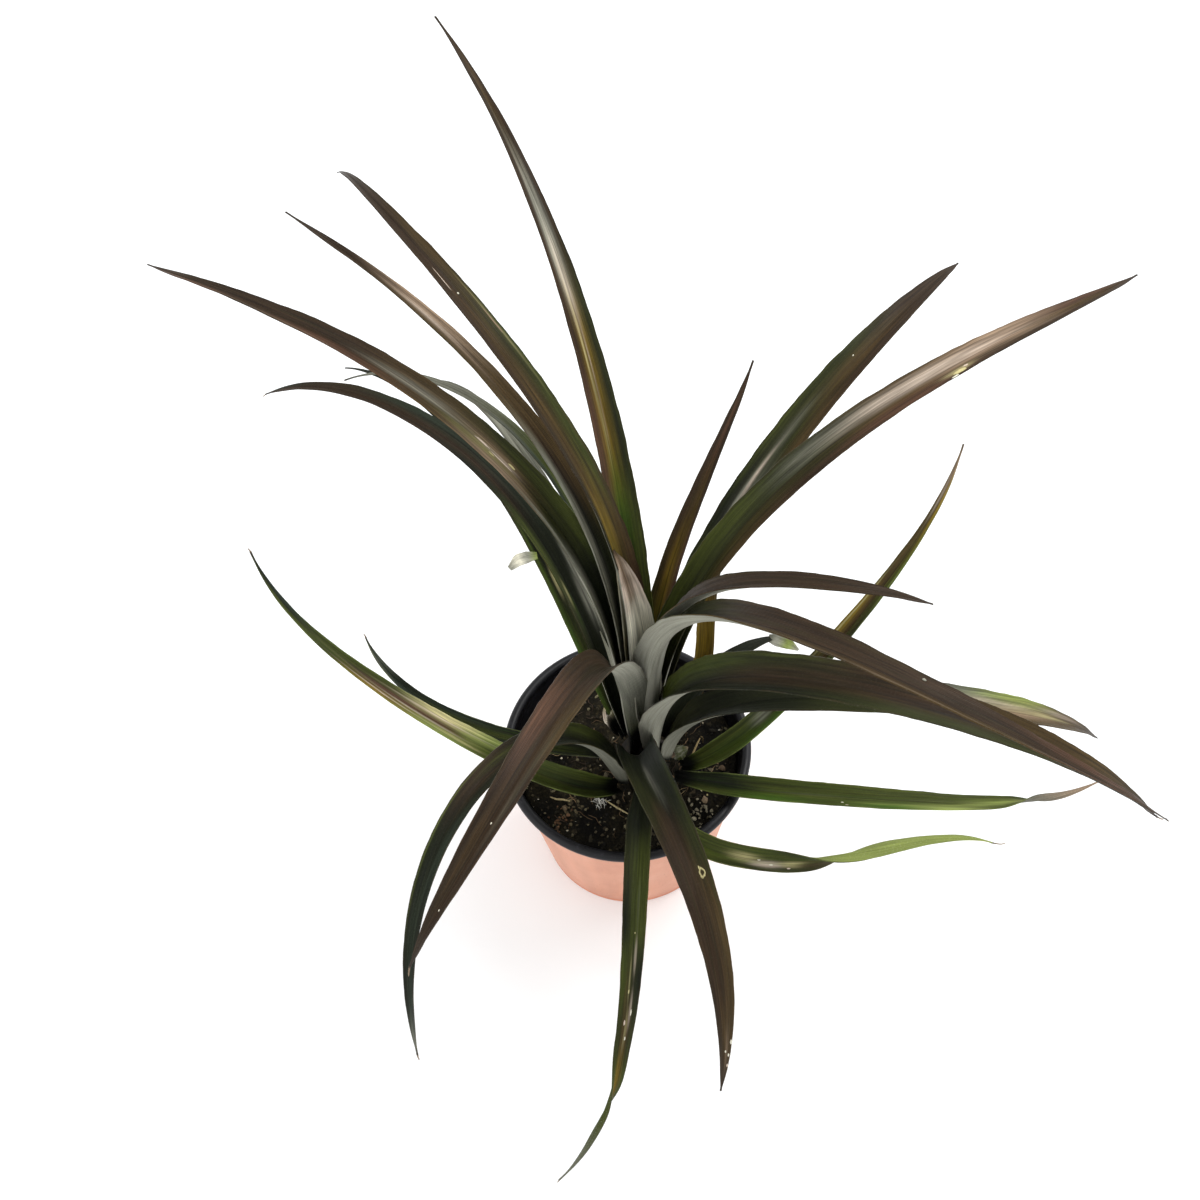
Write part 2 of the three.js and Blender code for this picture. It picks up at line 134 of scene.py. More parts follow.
# One row a leaf, in millimetres and degrees, the same numbers as in the solids: the side of the
# stem it leaves by, its foot's distance from the stem's middle and height, its length and width,
# how early it tapers, then slope, swing of the heading and roll from foot to tip. The share of
# the width at the foot and the length it opens over, a sharp twist (where, over how much of the
# length, by how many degrees) and the share of the length that is kept are given where they matter.
Leaf = namedtuple("Leaf", "around reach foot length width taper slope swing roll neck spread turn cut",
                  defaults=(0.5, 28.0, None, 1.0))
SHAPES = {
    "leaf_heart": Leaf(115, -2, 112, 135, 18.5, 5, (88, 89, 85, 73), (-4, 17, 31), (0, 1, 2, -3)),
    "leaf_upright": Leaf(70, 5.5, 107, 193, 14, 2, (84, 78, 34, 34), (-8, -27, -8), (0, -1, -1, -1)),
    "leaf_tallest": Leaf(94, 6, 106, 353, 20.5, 1.6, (85, 86, 48, 15), (9, 17, 26), (5, 6, 4, 2)),
    "leaf_right_1": Leaf(-19, 4, 104, 243, 17, 3.4, (80, 111, 53, -37), (-16, -26, 24), (-5, -16, -17, -6)),
    "leaf_upper_right_1": Leaf(48, 7.5, 103, 294, 19.5, 4.1, (79, 63, 21, -24), (-9, -13, 5), (0, 2, 4, 6)),
    "leaf_upper_left_1": Leaf(113, 5.5, 105, 377, 19.5, 2, (83, 111, 30, -44), (46, 19, -6), (14, 19, 10, 5)),
    "leaf_upper_left_2": Leaf(114, 8.5, 100, 339, 18, 1.4, (82, 103, 19, -16), (16, 38, 11), (-2, 4, 4, 2)),
    "leaf_upper_right_2": Leaf(37, 7, 102, 364, 20, 2.5, (87, 78, -7, -22), (-22, -23, 7), (8, 12, 10, 6)),
    "leaf_right_2": Leaf(-51, 5, 101, 384, 23, 2.1, (86, 106, -26, -54), (-11, 3, 61), (-9, -13, -19, -24)),
    "leaf_upper_left_5": Leaf(115, 11, 94, 235, 9.5, 2.8, (77, 60, 15, -40), (-3, 3, 16), (0, 0, -1, -2)),
    "leaf_upper_left_3": Leaf(128, 9.5, 97, 374, 21, 1.9, (85, 93, 4, -23), (20, 37, 4), (-4, -1, 2, 2)),
    "leaf_upper_left_7": Leaf(115, 10, 96, 270, 9, 2, (84, 91, 27, -33), (-9, 21, 51), (0, 0, 0, 0)),
    "leaf_upper_left_4": Leaf(130, 12.5, 91, 283, 14.5, 3.1, (69, 84, 18, -39), (-12, 24, 26), (2, 9, 5, -7)),
    "leaf_folded_left": Leaf(225, 8.5, 98, 298, 22, 2.8, (92, 85, 16, -64), (35, 24, -8), (8, -2, -6, 2),
        neck=0.2, spread=60),
    "leaf_right_3": Leaf(-52, 9, 94, 339, 23, 3.1, (87, 81, -45, -54), (16, 35, 52), (5, 11, 10, 4),
        neck=0.35, spread=45),
    "leaf_right_short": Leaf(34, 13, 88, 82, 11, 3.5, (67, 42, 6, -21), (5, -5, -12), (0, 0, 0, 0)),
    "leaf_upper_right_3": Leaf(42, 14, 88, 236, 13, 1.7, (-20, 239, -46, 22), (31, -2, -8), (8, 5, 1, -1)),
    "leaf_front": Leaf(255, 11, 90, 222, 24.5, 1.9, (86, 31, -45, -63), (46, 39, -4), (10, 9, 2, -1)),
    "leaf_upper_left_6": Leaf(130, 14.5, 85, 248, 12, 1.4, (60, 69, 33, -29), (-14, -3, 14), (-1, 0, 1, 1)),
    "leaf_right_4": Leaf(-27, 13, 88, 277, 21, 3.6, (85, 52, -35, -55), (-4, 28, 46), (-3, 3, 12, 6),
        neck=0.25, spread=50),
    "leaf_low_left_small": Leaf(175, 15, 83, 154, 12, 1.8, (11, 15, 52, 86), (-2, -8, -21), (0, 0, -1, -2)),
    "leaf_right_slender": Leaf(-15, 19, 79, 217, 16.5, 1.3, (39, 79, 31, 33), (43, 39, 80), (27, 9, -2, -2)),
    "leaf_hanging_left": Leaf(221, 17, 81, 278, 18.5, 1.4, (75, 93, -60, -76), (-23, 34, 45),
        (-24, -5, 2, 3)),
    "leaf_low_front": Leaf(262, 16, 80, 197, 17.5, 1.3, (33, -16, -55, -20), (2, 10, -50), (-6, -1, 1, -2),
        turn=(0.77, 0.24, -175)),
    "leaf_low_front_right": Leaf(-84, 16.5, 80, 189, 15.5, 1.6, (19, 20, 11, -37), (64, 122, 80),
        (10, 17, 15, 6), turn=(0.56, 0.34, 175)),
    "leaf_low_left": Leaf(220, 19.5, 78, 228, 17.5, 1.3, (46, 64, 7, 18), (-70, -59, -107), (-37, -8, 3, 2)),
    "leaf_low_right": Leaf(-34, 17.5, 79, 209, 15, 2.1, (24, 18, -32, 2), (30, 21, 57), (23, 5, -3, -4),
        turn=(0.84, 0.2, -175)),
    "stub_left": Leaf(148, 14.5, 96, 13, 15, 2, (64, 66), (6,), (0, 0), cut=0.35),
    "stub_right": Leaf(-25, 4, 97, 12, 14, 2, (-30, -42), (-25,), (0, 0), cut=0.35),
}


class Blade:
    """The middle line of one leaf, and places on its surface, in millimetres."""

    FINE = 400

    def __init__(self, leaf):
        self.leaf = leaf
        s = (np.arange(self.FINE) + 0.5) / self.FINE
        along, _ = self.direction(s)
        a = math.radians(leaf.around)
        start = np.array([STEM_X + leaf.reach * math.cos(a), STEM_Y + leaf.reach * math.sin(a), leaf.foot])
        steps = np.cumsum(along * leaf.length / self.FINE, 0)
        self.line = start + np.vstack([[0, 0, 0], steps])

    def direction(self, s):
        slope = np.radians(blend(self.leaf.slope, s))
        heading = np.radians(self.leaf.around + blend((0, *self.leaf.swing), s))
        along = np.stack([
            np.cos(slope) * np.cos(heading), np.cos(slope) * np.sin(heading), np.sin(slope)], -1)
        return along, heading

    def frame_at(self, s):
        """The middle line's place and direction at s, and the directions across and up from it."""
        where = np.arange(self.FINE + 1) / self.FINE
        point = np.stack([np.interp(s, where, self.line[:, k]) for k in range(3)], -1)
        along, heading = self.direction(s)
        roll = blend(self.leaf.roll, s)
        if self.leaf.turn:
            at, over, by = self.leaf.turn
            t = np.clip((s - at) / over + 0.5, 0, 1)
            roll = roll + by * t * t * (3 - 2 * t)
        roll = np.radians(roll)[..., None]
        level = np.stack([-np.sin(heading), np.cos(heading), 0 * heading], -1)
        side = level * np.cos(roll) + np.cross(along, level) * np.sin(roll)
        return point, along, side, np.cross(along, side)

    def width(self, s):
        leaf = self.leaf
        opened = np.minimum(s * leaf.length / leaf.spread, 1) ** 0.7
        base = leaf.neck + (1 - leaf.neck) * opened
        full = leaf.width * base * (1 - (s * leaf.cut) ** leaf.taper) ** 0.9
        return np.maximum(full, TIP_WIDTH)

    def surface(self, s, u, lift=0.0):
        """Places at s along (0 foot, 1 tip) and u across (-1 to 1), raised by lift."""
        point, _, side, up = self.frame_at(s)
        half = self.width(s) / 2
        opened = np.minimum(half / FLAT_HALF, 1) ** 2
        fold = np.radians(blend(FOLD, s)) * opened
        curl = np.radians(blend(CURL, s)) * opened
        size = np.sqrt(u * u + 0.004) - 0.063
        mean = fold + curl * size / 2
        out = half * u * np.cos(mean)
        rise = half * size * np.sin(mean) + lift
        return point + side * out[..., None] + up * rise[..., None]


def thickness(s, u):
    """The blade's thickness: most along the middle at the foot, least at the margins."""
    middle = THICK_FOOT * (1 - 0.55 * s)
    return np.maximum(THICK_MARGIN + (middle - THICK_MARGIN) * (1 - np.abs(u) ** 1.4), THICK_LEAST)


# ---- leaf colours
# Colours from foot to tip for the side u = +1 / the crease / the side u = -1. They are the leaves' own
# colours with painted light and shade in them: the half of a fold that catches the light is painted paler,
# the other half darker, and faces that fall dark are painted lighter. "deep*3" is deep three times.
PAINT = told("""
    leaf_heart: grey silver*2 white*2 cream tan / grey silver*3 white tan bronze / grey silver white*3 cream
        bronze;
    leaf_upright: deep olive moss bronze umber*3 / deep moss gold*2 bronze rust umber / deep bronze rust*2
        umber*3;
    leaf_tallest: deep olive gold rust*2 umber*4 / deep moss*2 green gold*2 silver bronze umber / deep
        moss*3 olive*2 umber*3;
    leaf_right_1: grey*2 deep umber*4 / grey*2 deep umber*4 / grey*2 olive bronze umber*3;
    leaf_upper_right_1: deep*2 moss deep olive*2 umber*2 / deep*2 olive grey olive bronze umber*2 / deep*2
        olive*2 bronze umber*3;
    leaf_upper_left_1: deep olive deep*2 umber*5 / deep olive bronze gold bronze*2 umber*3 / deep olive rust
        bronze moss olive bronze umber*2;
    leaf_upper_left_2: silver*3 grey*2 bronze*2 umber*2 / deep grey deep*2 umber bronze tan umber*2 / deep*3
        olive bronze*2 tan umber*2;
    leaf_upper_right_2: deep olive moss*2 olive bronze tan rust umber / deep moss olive*3 bronze tan bronze
        umber / deep*2 olive bronze umber rust umber*3;
    leaf_right_2: silver grey deep olive umber*3 rust umber / grey*2 deep*2 umber*5 / grey*2 moss olive
        bronze*3 rust umber;
    leaf_upper_left_5: grey silver moss grey*2 slate / grey silver moss grey silver grey / moss grey moss
        grey*3;
    leaf_upper_left_3: deep silver*3 olive tan bronze rust umber rust umber / deep*4 olive bronze*2 umber*4
        / deep*4 moss olive bronze umber*4;
    leaf_upper_left_7: grey moss*2 slate grey*2 / grey moss lime moss grey*2 / grey moss slate moss grey*2;
    leaf_upper_left_4: deep*2 olive moss deep umber*3 / deep*4 umber*4 / deep*4 slate*2 umber slate;
    leaf_folded_left: olive*2 deep*2 umber bronze umber*3 / olive moss deep umber*6 / grey*2 umber*3 rust
        umber*3;
    leaf_right_3: olive moss*2 olive umber bronze*2 umber / deep*3 umber*3 bronze umber / deep*4 olive*2
        umber*2;
    leaf_right_short: deep*4 / deep*4 / deep*4;
    leaf_upper_right_3: olive gold*3 bronze umber lime / olive gold*2 bronze*2 umber lime / olive bronze
        gold bronze umber*2 tan;
    leaf_front: deep*4 olive bronze*3 umber / deep*4 umber*3 bronze umber / deep*3 olive umber*5;
    leaf_upper_left_6: moss green moss deep*3 / deep moss deep*4 / deep*6;
    leaf_right_4: deep olive deep olive lime grey lime bronze umber / deep*4 olive lime tan bronze umber /
        deep*4 olive*2 bronze*2 umber;
    leaf_low_left_small: deep*3 slate grey / deep moss*2 slate*2 / deep*2 slate deep grey;
    leaf_right_slender: moss*3 olive gold bronze*2 tan / moss*3 bronze*4 tan / moss*2 green moss olive moss
        gold tan;
    leaf_hanging_left: deep*2 olive deep*2 slate deep slate grey / deep*4 umber deep slate*2 grey / deep*2
        moss deep umber deep*3 grey;
    leaf_low_front: deep*2 moss*2 deep olive moss slate moss / deep*2 moss*2 olive bronze gold deep slate /
        deep*2 olive deep moss olive moss slate grey;
    leaf_low_front_right: deep olive moss*2 olive moss lime*2 straw / deep*2 moss*4 lime*2 tan / deep moss*2
        olive*2 bronze lime moss tan;
    leaf_low_left: deep moss*3 lime gold moss*2 deep / deep*2 moss*2 rust*2 moss deep*2 / deep moss*2 lime
        straw moss*2 slate deep;
    leaf_low_right: deep*2 moss*5 olive gold / deep*2 moss*4 lime rust tan / deep moss green moss green lime
        moss olive gold;
    stub_left: moss grey cream / moss grey cream / moss grey straw;
    stub_right: umber bronze tan / umber*2 bronze / umber rust tan
""")

# Soft patches, the leaves' own pale scurf, bleaching and blotches together with painted highlights and sheen:
# colour, then in hundredths s and u of the middle, half length in s, half width in u, strength.
PATCHES = told("""
    leaf_tallest: silver 71 10 6 50 95, cream 68 5 6 35 60, straw 60 20 8 8 75, cream 57 -10 8 5 60,
        straw 52 10 6 10 55, green 42 0 7 35 60, silver 27 95 10 50 100, deep 50 -75 10 20 50;
    leaf_upright: gold 55 -50 18 30 40, moss 36 10 9 25 70, deep 45 85 12 15 50;
    leaf_upper_right_1: cream 50 32 6 7 85, silver 43 42 7 8 60, grey 58 30 6 20 50, moss 55 85 12 12 50,
        bronze 80 0 10 30 40;
    leaf_upper_left_1: bronze 56 -15 10 30 60, straw 64 -82 6 6 60, moss 60 -88 9 12 60,
        bronze 40 -50 8 16 60, rust 46 -90 9 8 60, moss 33 -10 7 30 40, deep 45 75 14 30 60;
    leaf_upper_left_2: cream 74 5 5.5 35 75, tan 68 20 5 20 60, bronze 61 -30 7 25 50,
        bronze 50 -55 7 25 60, silver 45 90 10 20 85, silver 34 70 10 60 100, silver 22 85 10 40 90,
        deep 42 10 8 25 80;
    leaf_upper_right_2: cream 62 40 8 40 72, cream 70 35 8 34 62, tan 75 60 6 20 50, silver 53 50 7 40 45,
        straw 69 -60 2 20 60, bronze 45 -10 10 15 50, moss 35 60 8 20 40;
    leaf_right_2: lime 22 -85 5 30 70, tan 66 -80 8 12 50, bronze 82 -40 7 30 50, rust 93 -50 5 40 50,
        deep 33 70 5 30 50;
    leaf_upper_left_3: tan 51 0 4.5 40 60, cream 50 2 3 12 100, silver 61 -10 6 30 65, rust 68 60 8 20 40,
        lime 53 30 5 35 45, moss 47 -60 4 25 60, silver 40 85 7 13 90, silver 30 85 9 30 90,
        tan 80 85 10 12 40;
    leaf_upper_left_4: straw 33 45 2.5 14 80, green 30 35 5 20 50, silver 30 -95 6 38 100,
        silver 37 -95 4 15 70;
    leaf_folded_left: rust 60 -30 7 30 50, deep 46 20 5 60 50, grey 72 60 10 25 25, bronze 85 -30 10 30 40;
    leaf_right_3: green 30 70 10 20 12, moss 45 90 6 10 60, umber 52 25 14 35 60;
    leaf_front: silver 31 0 5.5 16 45, grey 37 10 4 20 35, moss 45 90 20 10 50, bronze 62 10 10 35 40,
        rust 43 -30 5 30 30, tan 90 30 5 30 50;
    leaf_right_4: grey 60 50 8 35 40, cream 70 35 8 25 60, straw 80 10 8 20 50, cream 86 60 6 20 40,
        bronze 70 -10 12 6 70, rust 78 75 5 8 50;
    leaf_upper_left_6: straw 37 -30 3 20 70, green 40 70 10 25 50;
    leaf_right_slender: green 18 0 9 50 50, silver 27 25 3.5 50 60, straw 60 80 12 10 60,
        lime 75 -85 12 12 60, cream 90 30 6 40 40;
    leaf_hanging_left: moss 46 -40 5 30 60, lime 62 -90 12 8 40;
    leaf_low_front: cream 45 30 4 10 75, straw 50 -10 5 10 50, grey 33 30 6 10 35, cream 57 30 4 12 70,
        straw 62 0 5 15 60, bronze 57 -40 10 20 60;
    leaf_low_front_right: cream 42 -35 4 35 90, straw 36 10 4 40 75, straw 48 -30 3 30 70,
        bronze 52 -40 4 40 70, moss 44 60 5 20 60;
    leaf_low_left: cream 55 25 10 9 85, rust 60 -15 12 8 75, cream 50 -50 12 8 75, cream 63 60 10 8 70,
        tan 70 5 10 8 70, straw 45 60 6 15 70, lime 42 -20 4 50 60, rust 58 85 10 7 60;
    leaf_low_right: grey 30 0 10 12 25, lime 55 -50 12 15 50, lime 70 -30 6 30 50, rust 83 -30 2.5 60 80;
    leaf_heart: rust 88 40 3.5 50 70, bronze 86 -50 3 40 60, tan 95 0 3 60 80, tan 78 -10 2.5 30 60,
        white 72 -40 6 35 70, rust 76 10 4 12 50;
    stub_left: white 95 0 12 120 70
""")

# Undersides: scurf colours from foot to tip.
UNDER = told("""
    leaf_right_1: silver*4 bronze umber;
    leaf_right_2: silver*3 grey slate umber;
    leaf_folded_left: moss grey silver grey slate umber;
    leaf_right_3: silver*2 grey*2 slate umber;
    leaf_right_4: silver grey silver slate*2 umber;
    leaf_hanging_left: grey*3 slate*2 umber;
    leaf_front: grey silver grey slate*2 umber;
    leaf_low_front: grey*3 moss*2 grey;
    leaf_low_front_right: moss grey moss lime*3;
    leaf_low_right: moss grey moss lime grey tan;
    leaf_low_left: grey silver grey moss*2 slate;
    leaf_heart: silver*2 white silver tan umber
""")
UNDER_REST = "silver*2 grey*2 slate umber"

# Younger, greener leaves, low on the stem.
FRESH = ("leaf_low_left", "leaf_low_right", "leaf_low_front_right", "leaf_right_slender",
         "leaf_low_left_small")


def along_row(names, s):
    """The colour at s in a row of named hues, blended from one to the next."""
    hues = []
    for word in names.split():
        name, _, count = word.partition("*")
        hues += [HUES[name]] * int(count or 1)
    hues = np.array(hues)
    x = np.clip(s, 0, 1) * (len(hues) - 1)
    i = np.minimum(x.astype(int), len(hues) - 2)
    t = ease(x - i)[..., None]
    return hues[i] * (1 - t) + hues[i + 1] * t


def mixed(a, b, amount):
    amount = np.clip(amount, 0, 1)[..., None]
    return a * (1 - amount) + b * amount


def top_colour(name, s, u, millimetres, seed):
    """Colour of the upper side: rows from foot to tip and soft patches, both with painted light and shade in
    them, streaks, rim line, painted shade along the crease and at the foot, and dry tip.
    """
    run = s * millimetres
    fresh = name in FRESH
    plus, crease, minus = (along_row(row, s + 0.02 * wander(u * 4, s * 3, seed + k))
                           for k, row in enumerate(PAINT[name].split("/")))
    halves = np.where((u > 0)[..., None], plus, minus)
    colour = mixed(crease, halves, soft_step(0.06, 0.85, np.abs(u) ** 0.8))
    for k, (hue, *numbers) in enumerate(rows_of(PATCHES.get(name, ""))):
        ps, pu, ds, du, strength = (float(n) / 100 for n in numbers)
        away = ((s - ps) / ds) ** 2 + ((u - pu) / du) ** 2
        ragged = 0.75 + 0.45 * wander(u * 9, run / 22, seed + 20 + k)
        colour = mixed(colour, HUES[hue], strength * np.exp(-1.1 * away ** 1.4) * ragged)
    streak = wander(u * 7.5, run / 42, seed + 3, 3)
    long_streak = wander(u * 16, run / 90, seed + 4, 2)
    colour = colour * (1 + 0.42 * streak + 0.3 * long_streak)[..., None]
    colour = mixed(colour, HUES["green" if fresh else "olive"],
                   0.3 * np.clip(wander(u * 5, run / 60, seed + 6), 0, 1))
    rim = soft_step(0.92, 0.98, np.abs(u)) * (0.16 + 0.3 * wander(run / 12, u, seed + 8))
    colour = mixed(colour, HUES["lime" if fresh else "bronze"], rim)
    # Painted shade: a thin darker line down the crease of the fold.
    crease_shade = np.exp(-(u / 0.05) ** 2) * 0.3
    colour = colour * (1 - crease_shade)[..., None]
    # Painted shade: the foot of the blade goes nearly black, where it sits deep among the other leaves round
    # the stem.
    colour = mixed(colour, HUES["deep"] * 0.15, 1 - soft_step(6, 15, run))
    return mixed(colour, HUES["umber"] * 0.8, soft_step(0.965, 1.0, s) * 0.7)


def under_colour(name, s, u, millimetres, seed):
    """Colour of the underside: rows of scurf, streaks, rim line, and painted shade where the leaves wrap
    round the stem.
    """
    colour = along_row(UNDER.get(name, UNDER_REST), s + 0.03 * wander(u * 3, s * 3, seed + 30))
    streak = wander(u * 10, s * millimetres / 60, seed + 31, 3)
    colour = colour * (0.95 + 0.22 * streak)[..., None]
    colour = mixed(colour, HUES["bronze"], soft_step(0.92, 0.98, np.abs(u)) * 0.3)
    # Painted shade at the foot; on leaf_folded_left it reaches further up, for the dark mouth round the stem.
    shade_low, shade_high = 4, 11
    if name == "leaf_folded_left":
        shade_low, shade_high = 17 + 11 * np.abs(u), 26 + 11 * np.abs(u)
    return mixed(colour, HUES["deep"] * 0.15, 1 - soft_step(shade_low, shade_high, s * millimetres))


# ---- mesh helpers
def edit_mode(on):
    """Goes into edit mode, or back to object mode."""
    bpy.ops.object.mode_set(mode="EDIT" if on else "OBJECT")


def deselect():
    if bpy.context.object and bpy.context.object.mode != "OBJECT":
        edit_mode(False)
    bpy.ops.object.select_all(action="DESELECT")


def made(operator, **settings):
    """The mesh that one of Blender's add operators makes."""
    deselect()
    operator(**settings)
    return bpy.context.object


def pick(*pieces):
    deselect()
    for piece in pieces:
        piece.select_set(True)
    bpy.context.view_layer.objects.active = pieces[0]


def named(piece, name):
    piece.name = piece.data.name = name


def joined(pieces, name=None):
    pick(*pieces)
    if len(pieces) > 1:
        bpy.ops.object.join()
    if name:
        pieces[0].name = name
    return pieces[0]


def applied(piece, kind, **settings):
    modifier = piece.modifiers.new("step", kind)
    for key, value in settings.items():
        setattr(modifier, key, value)
    pick(piece)
    bpy.ops.object.modifier_apply(modifier="step")


def raw_vertices(piece):
    """The vertices' places as Blender holds them."""
    flat = np.empty(len(piece.data.vertices) * 3)
    piece.data.vertices.foreach_get("co", flat)
    return flat.reshape(-1, 3)


def vertices_of(piece):
    """The vertices' places in millimetres."""
    return raw_vertices(piece) / MM


def placed(piece, points):
    """Moves the vertices to points, which are in millimetres."""
    piece.data.vertices.foreach_set("co", (np.asarray(points) * MM).ravel())
    piece.data.update()


def grid_mesh(name, across, along):
    """A flat grid from -1 to 1, with the arrays of its two coordinates."""
    piece = made(bpy.ops.mesh.primitive_grid_add, x_subdivisions=across, y_subdivisions=along, size=2)
    named(piece, name)
    flat = raw_vertices(piece)
    return piece, flat[:, 0].copy(), flat[:, 1].copy()


def painted(piece, colours, *layers):
    rgba = np.ones((len(piece.data.vertices), 4))
    rgba[:, :3] = np.clip(colours, 0, 1)
    for name in layers:
        layer = piece.data.attributes.new(name, "FLOAT_COLOR", "POINT")
        layer.data.foreach_set("color", rgba.ravel())


def laned(piece, across, along, seed):
    """Keeps millimetres across and along the blade, which the leaf materials read."""
    layer = piece.data.attributes.new("lane", "FLOAT_VECTOR", "POINT")
    rows = np.stack([across, along, np.full_like(across, seed)], -1)
    layer.data.foreach_set("vector", rows.ravel())


def skinned(piece, degrees, *skins):
    """Gives the piece its materials and smooth shading up to an angle."""
    for skin in skins:
        piece.data.materials.append(skin)
    smooth(piece, degrees)


def thickened(piece, millimetres, weights=None):
    """Gives a blade or strip its upper skin, underside and edge. Weights thin it from place to place."""
    for skin in LEAF_SKINS:
        piece.data.materials.append(skin)
    group = ""
    if weights is not None:
        group = "thick"
        layer = piece.vertex_groups.new(name=group)
        steps = np.round(weights * WEIGHT_STEPS).astype(int)
        for step in np.unique(steps):
            layer.add(np.flatnonzero(steps == step).tolist(), step / WEIGHT_STEPS, "REPLACE")
    applied(piece, "SOLIDIFY", thickness=millimetres * MM, offset=0, vertex_group=group,
            material_offset=1, material_offset_rim=2)
    piece.vertex_groups.clear()
    smooth(piece, 60)


def smooth(piece, degrees):
    pick(piece)
    bpy.ops.object.shade_smooth_by_angle(angle=math.radians(degrees))


def finished(piece, slot, *nodes):
    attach(piece, "root")
    if nodes:
        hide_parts(*nodes)


# ---- materials
def material(name):
    m = bpy.data.materials.new(name)
    m.use_nodes = True
    tree = m.node_tree
    return m, tree, tree.nodes["Principled BSDF"]


def join(tree, socket, value):
    if isinstance(value, bpy.types.NodeSocket):
        tree.links.new(value, socket)
    else:
        socket.default_value = value


def wire(tree, node, **inputs):
    """Sets a node's inputs to values, or links them to other outputs."""
    for key, value in inputs.items():
        join(tree, node.inputs[key.replace("_", " ")], value)
    return node


def add(tree, kind, settings=None, **inputs):
    node = tree.nodes.new(kind)
    for key, value in (settings or {}).items():
        setattr(node, key, value)
    return wire(tree, node, **inputs)


def attribute(tree, name, output="Color"):
    return add(tree, "ShaderNodeAttribute", {"attribute_name": name}).outputs[output]


def object_coordinates(tree):
    return add(tree, "ShaderNodeTexCoord").outputs["Object"]


def stretched(tree, vector, scale):
    return add(tree, "ShaderNodeMapping", Vector=vector, Scale=scale).outputs[0]


def clouds(tree, vector, scale, detail, **more):
    return add(tree, "ShaderNodeTexNoise", Vector=vector, Scale=scale, Detail=detail, **more).outputs["Fac"]


def bumps(tree, height, strength, distance):
    return add(tree, "ShaderNodeBump", Strength=strength, Distance=distance, Height=height).outputs[0]


def ramp(tree, factor, stops):
    """Colours that follow a value. A stop's colour is a paint-chart code or three numbers."""
    node = add(tree, "ShaderNodeValToRGB", Fac=factor)
    points = node.color_ramp.elements
    while len(points) < len(stops):
        points.new(0.5)
    for point, (place, colour) in zip(points, stops):
        point.position = place
        point.color = opaque(colour) if isinstance(colour, str) else (*colour, 1)
    return node.outputs["Color"]


def grey_ramp(tree, factor, stops):
    return ramp(tree, factor, [(place, (v, v, v)) for place, v in stops])


def math_node(tree, operation, a, b):
    node = add(tree, "ShaderNodeMath", {"operation": operation})
    join(tree, node.inputs[0], a)
    join(tree, node.inputs[1], b)
    return node.outputs[0]


def mix_colour(tree, factor, a, b, blend_type="MIX"):
    node = add(tree, "ShaderNodeMix", {"data_type": "RGBA", "blend_type": blend_type})
    for slot, value in ((0, factor), (6, a), (7, b)):
        join(tree, node.inputs[slot], value)
    return node.outputs[2]


def multiplied(tree, a, b):
    return mix_colour(tree, 1.0, a, b, "MULTIPLY")


def tinted(tree, colour, mask, amount, code):
    """The colour with some of another one where the mask is bright."""
    return mix_colour(tree, math_node(tree, "MULTIPLY", mask, amount), colour, opaque(code))


def leaf_material(name, layer, rough, specular, grain, ridge, speckle):
    """Leaf skin: the painted colour, fine lengthwise lines, scurf specks and shallow ribs."""
    m, tree, skin = material(name)
    lane = attribute(tree, "lane", "Vector")
    fine = clouds(tree, stretched(tree, lane, (2.6, 0.05, 1)), 1.0, 3.0, Roughness=0.6)
    broad = clouds(tree, stretched(tree, lane, (0.7, 0.035, 1)), 1.0, 2.0)
    specks = clouds(tree, stretched(tree, lane, (3.2, 1.1, 1)), 1.0, 4.0, Roughness=0.7)
    lines = grey_ramp(tree, fine, [(0.3, 1 - grain), (0.5, 1.0), (0.72, 1 + grain)])
    colour = multiplied(tree, attribute(tree, layer), lines)
    scurf = grey_ramp(tree, specks, [(0.52, 0.0), (0.74, 1.0)])
    pale = mix_colour(tree, 1.0, colour, (0.33, 0.33, 0.29, 1), "ADD")
    colour = mix_colour(tree, math_node(tree, "MULTIPLY", scurf, speckle), colour, pale)
    gloss = grey_ramp(tree, broad, [(0.3, rough - 0.08), (0.7, rough + 0.1)])
    ribs = add(tree, "ShaderNodeTexWave", {"bands_direction": "X"},
               Vector=stretched(tree, lane, (1, 0.004, 0)), Scale=0.62, Distortion=0.7,
               Detail=1.0).outputs["Fac"]
    height = math_node(tree, "ADD", math_node(tree, "MULTIPLY", ribs, ridge), fine)
    wire(tree, skin, Base_Color=colour, Roughness=gloss, Specular_IOR_Level=specular,
         Normal=bumps(tree, height, 0.4, 0.00025))
    return m


leaf_top = leaf_material("leaf_top", "paint", 0.46, 0.16, 0.32, 0.9, 0.06)
leaf_under = leaf_material("leaf_under", "under", 0.72, 0.12, 0.2, 1.2, 0.4)
leaf_edge = leaf_material("leaf_edge", "paint", 0.55, 0.15, 0.2, 0.2, 0.15)
LEAF_SKINS = leaf_top, leaf_under, leaf_edge


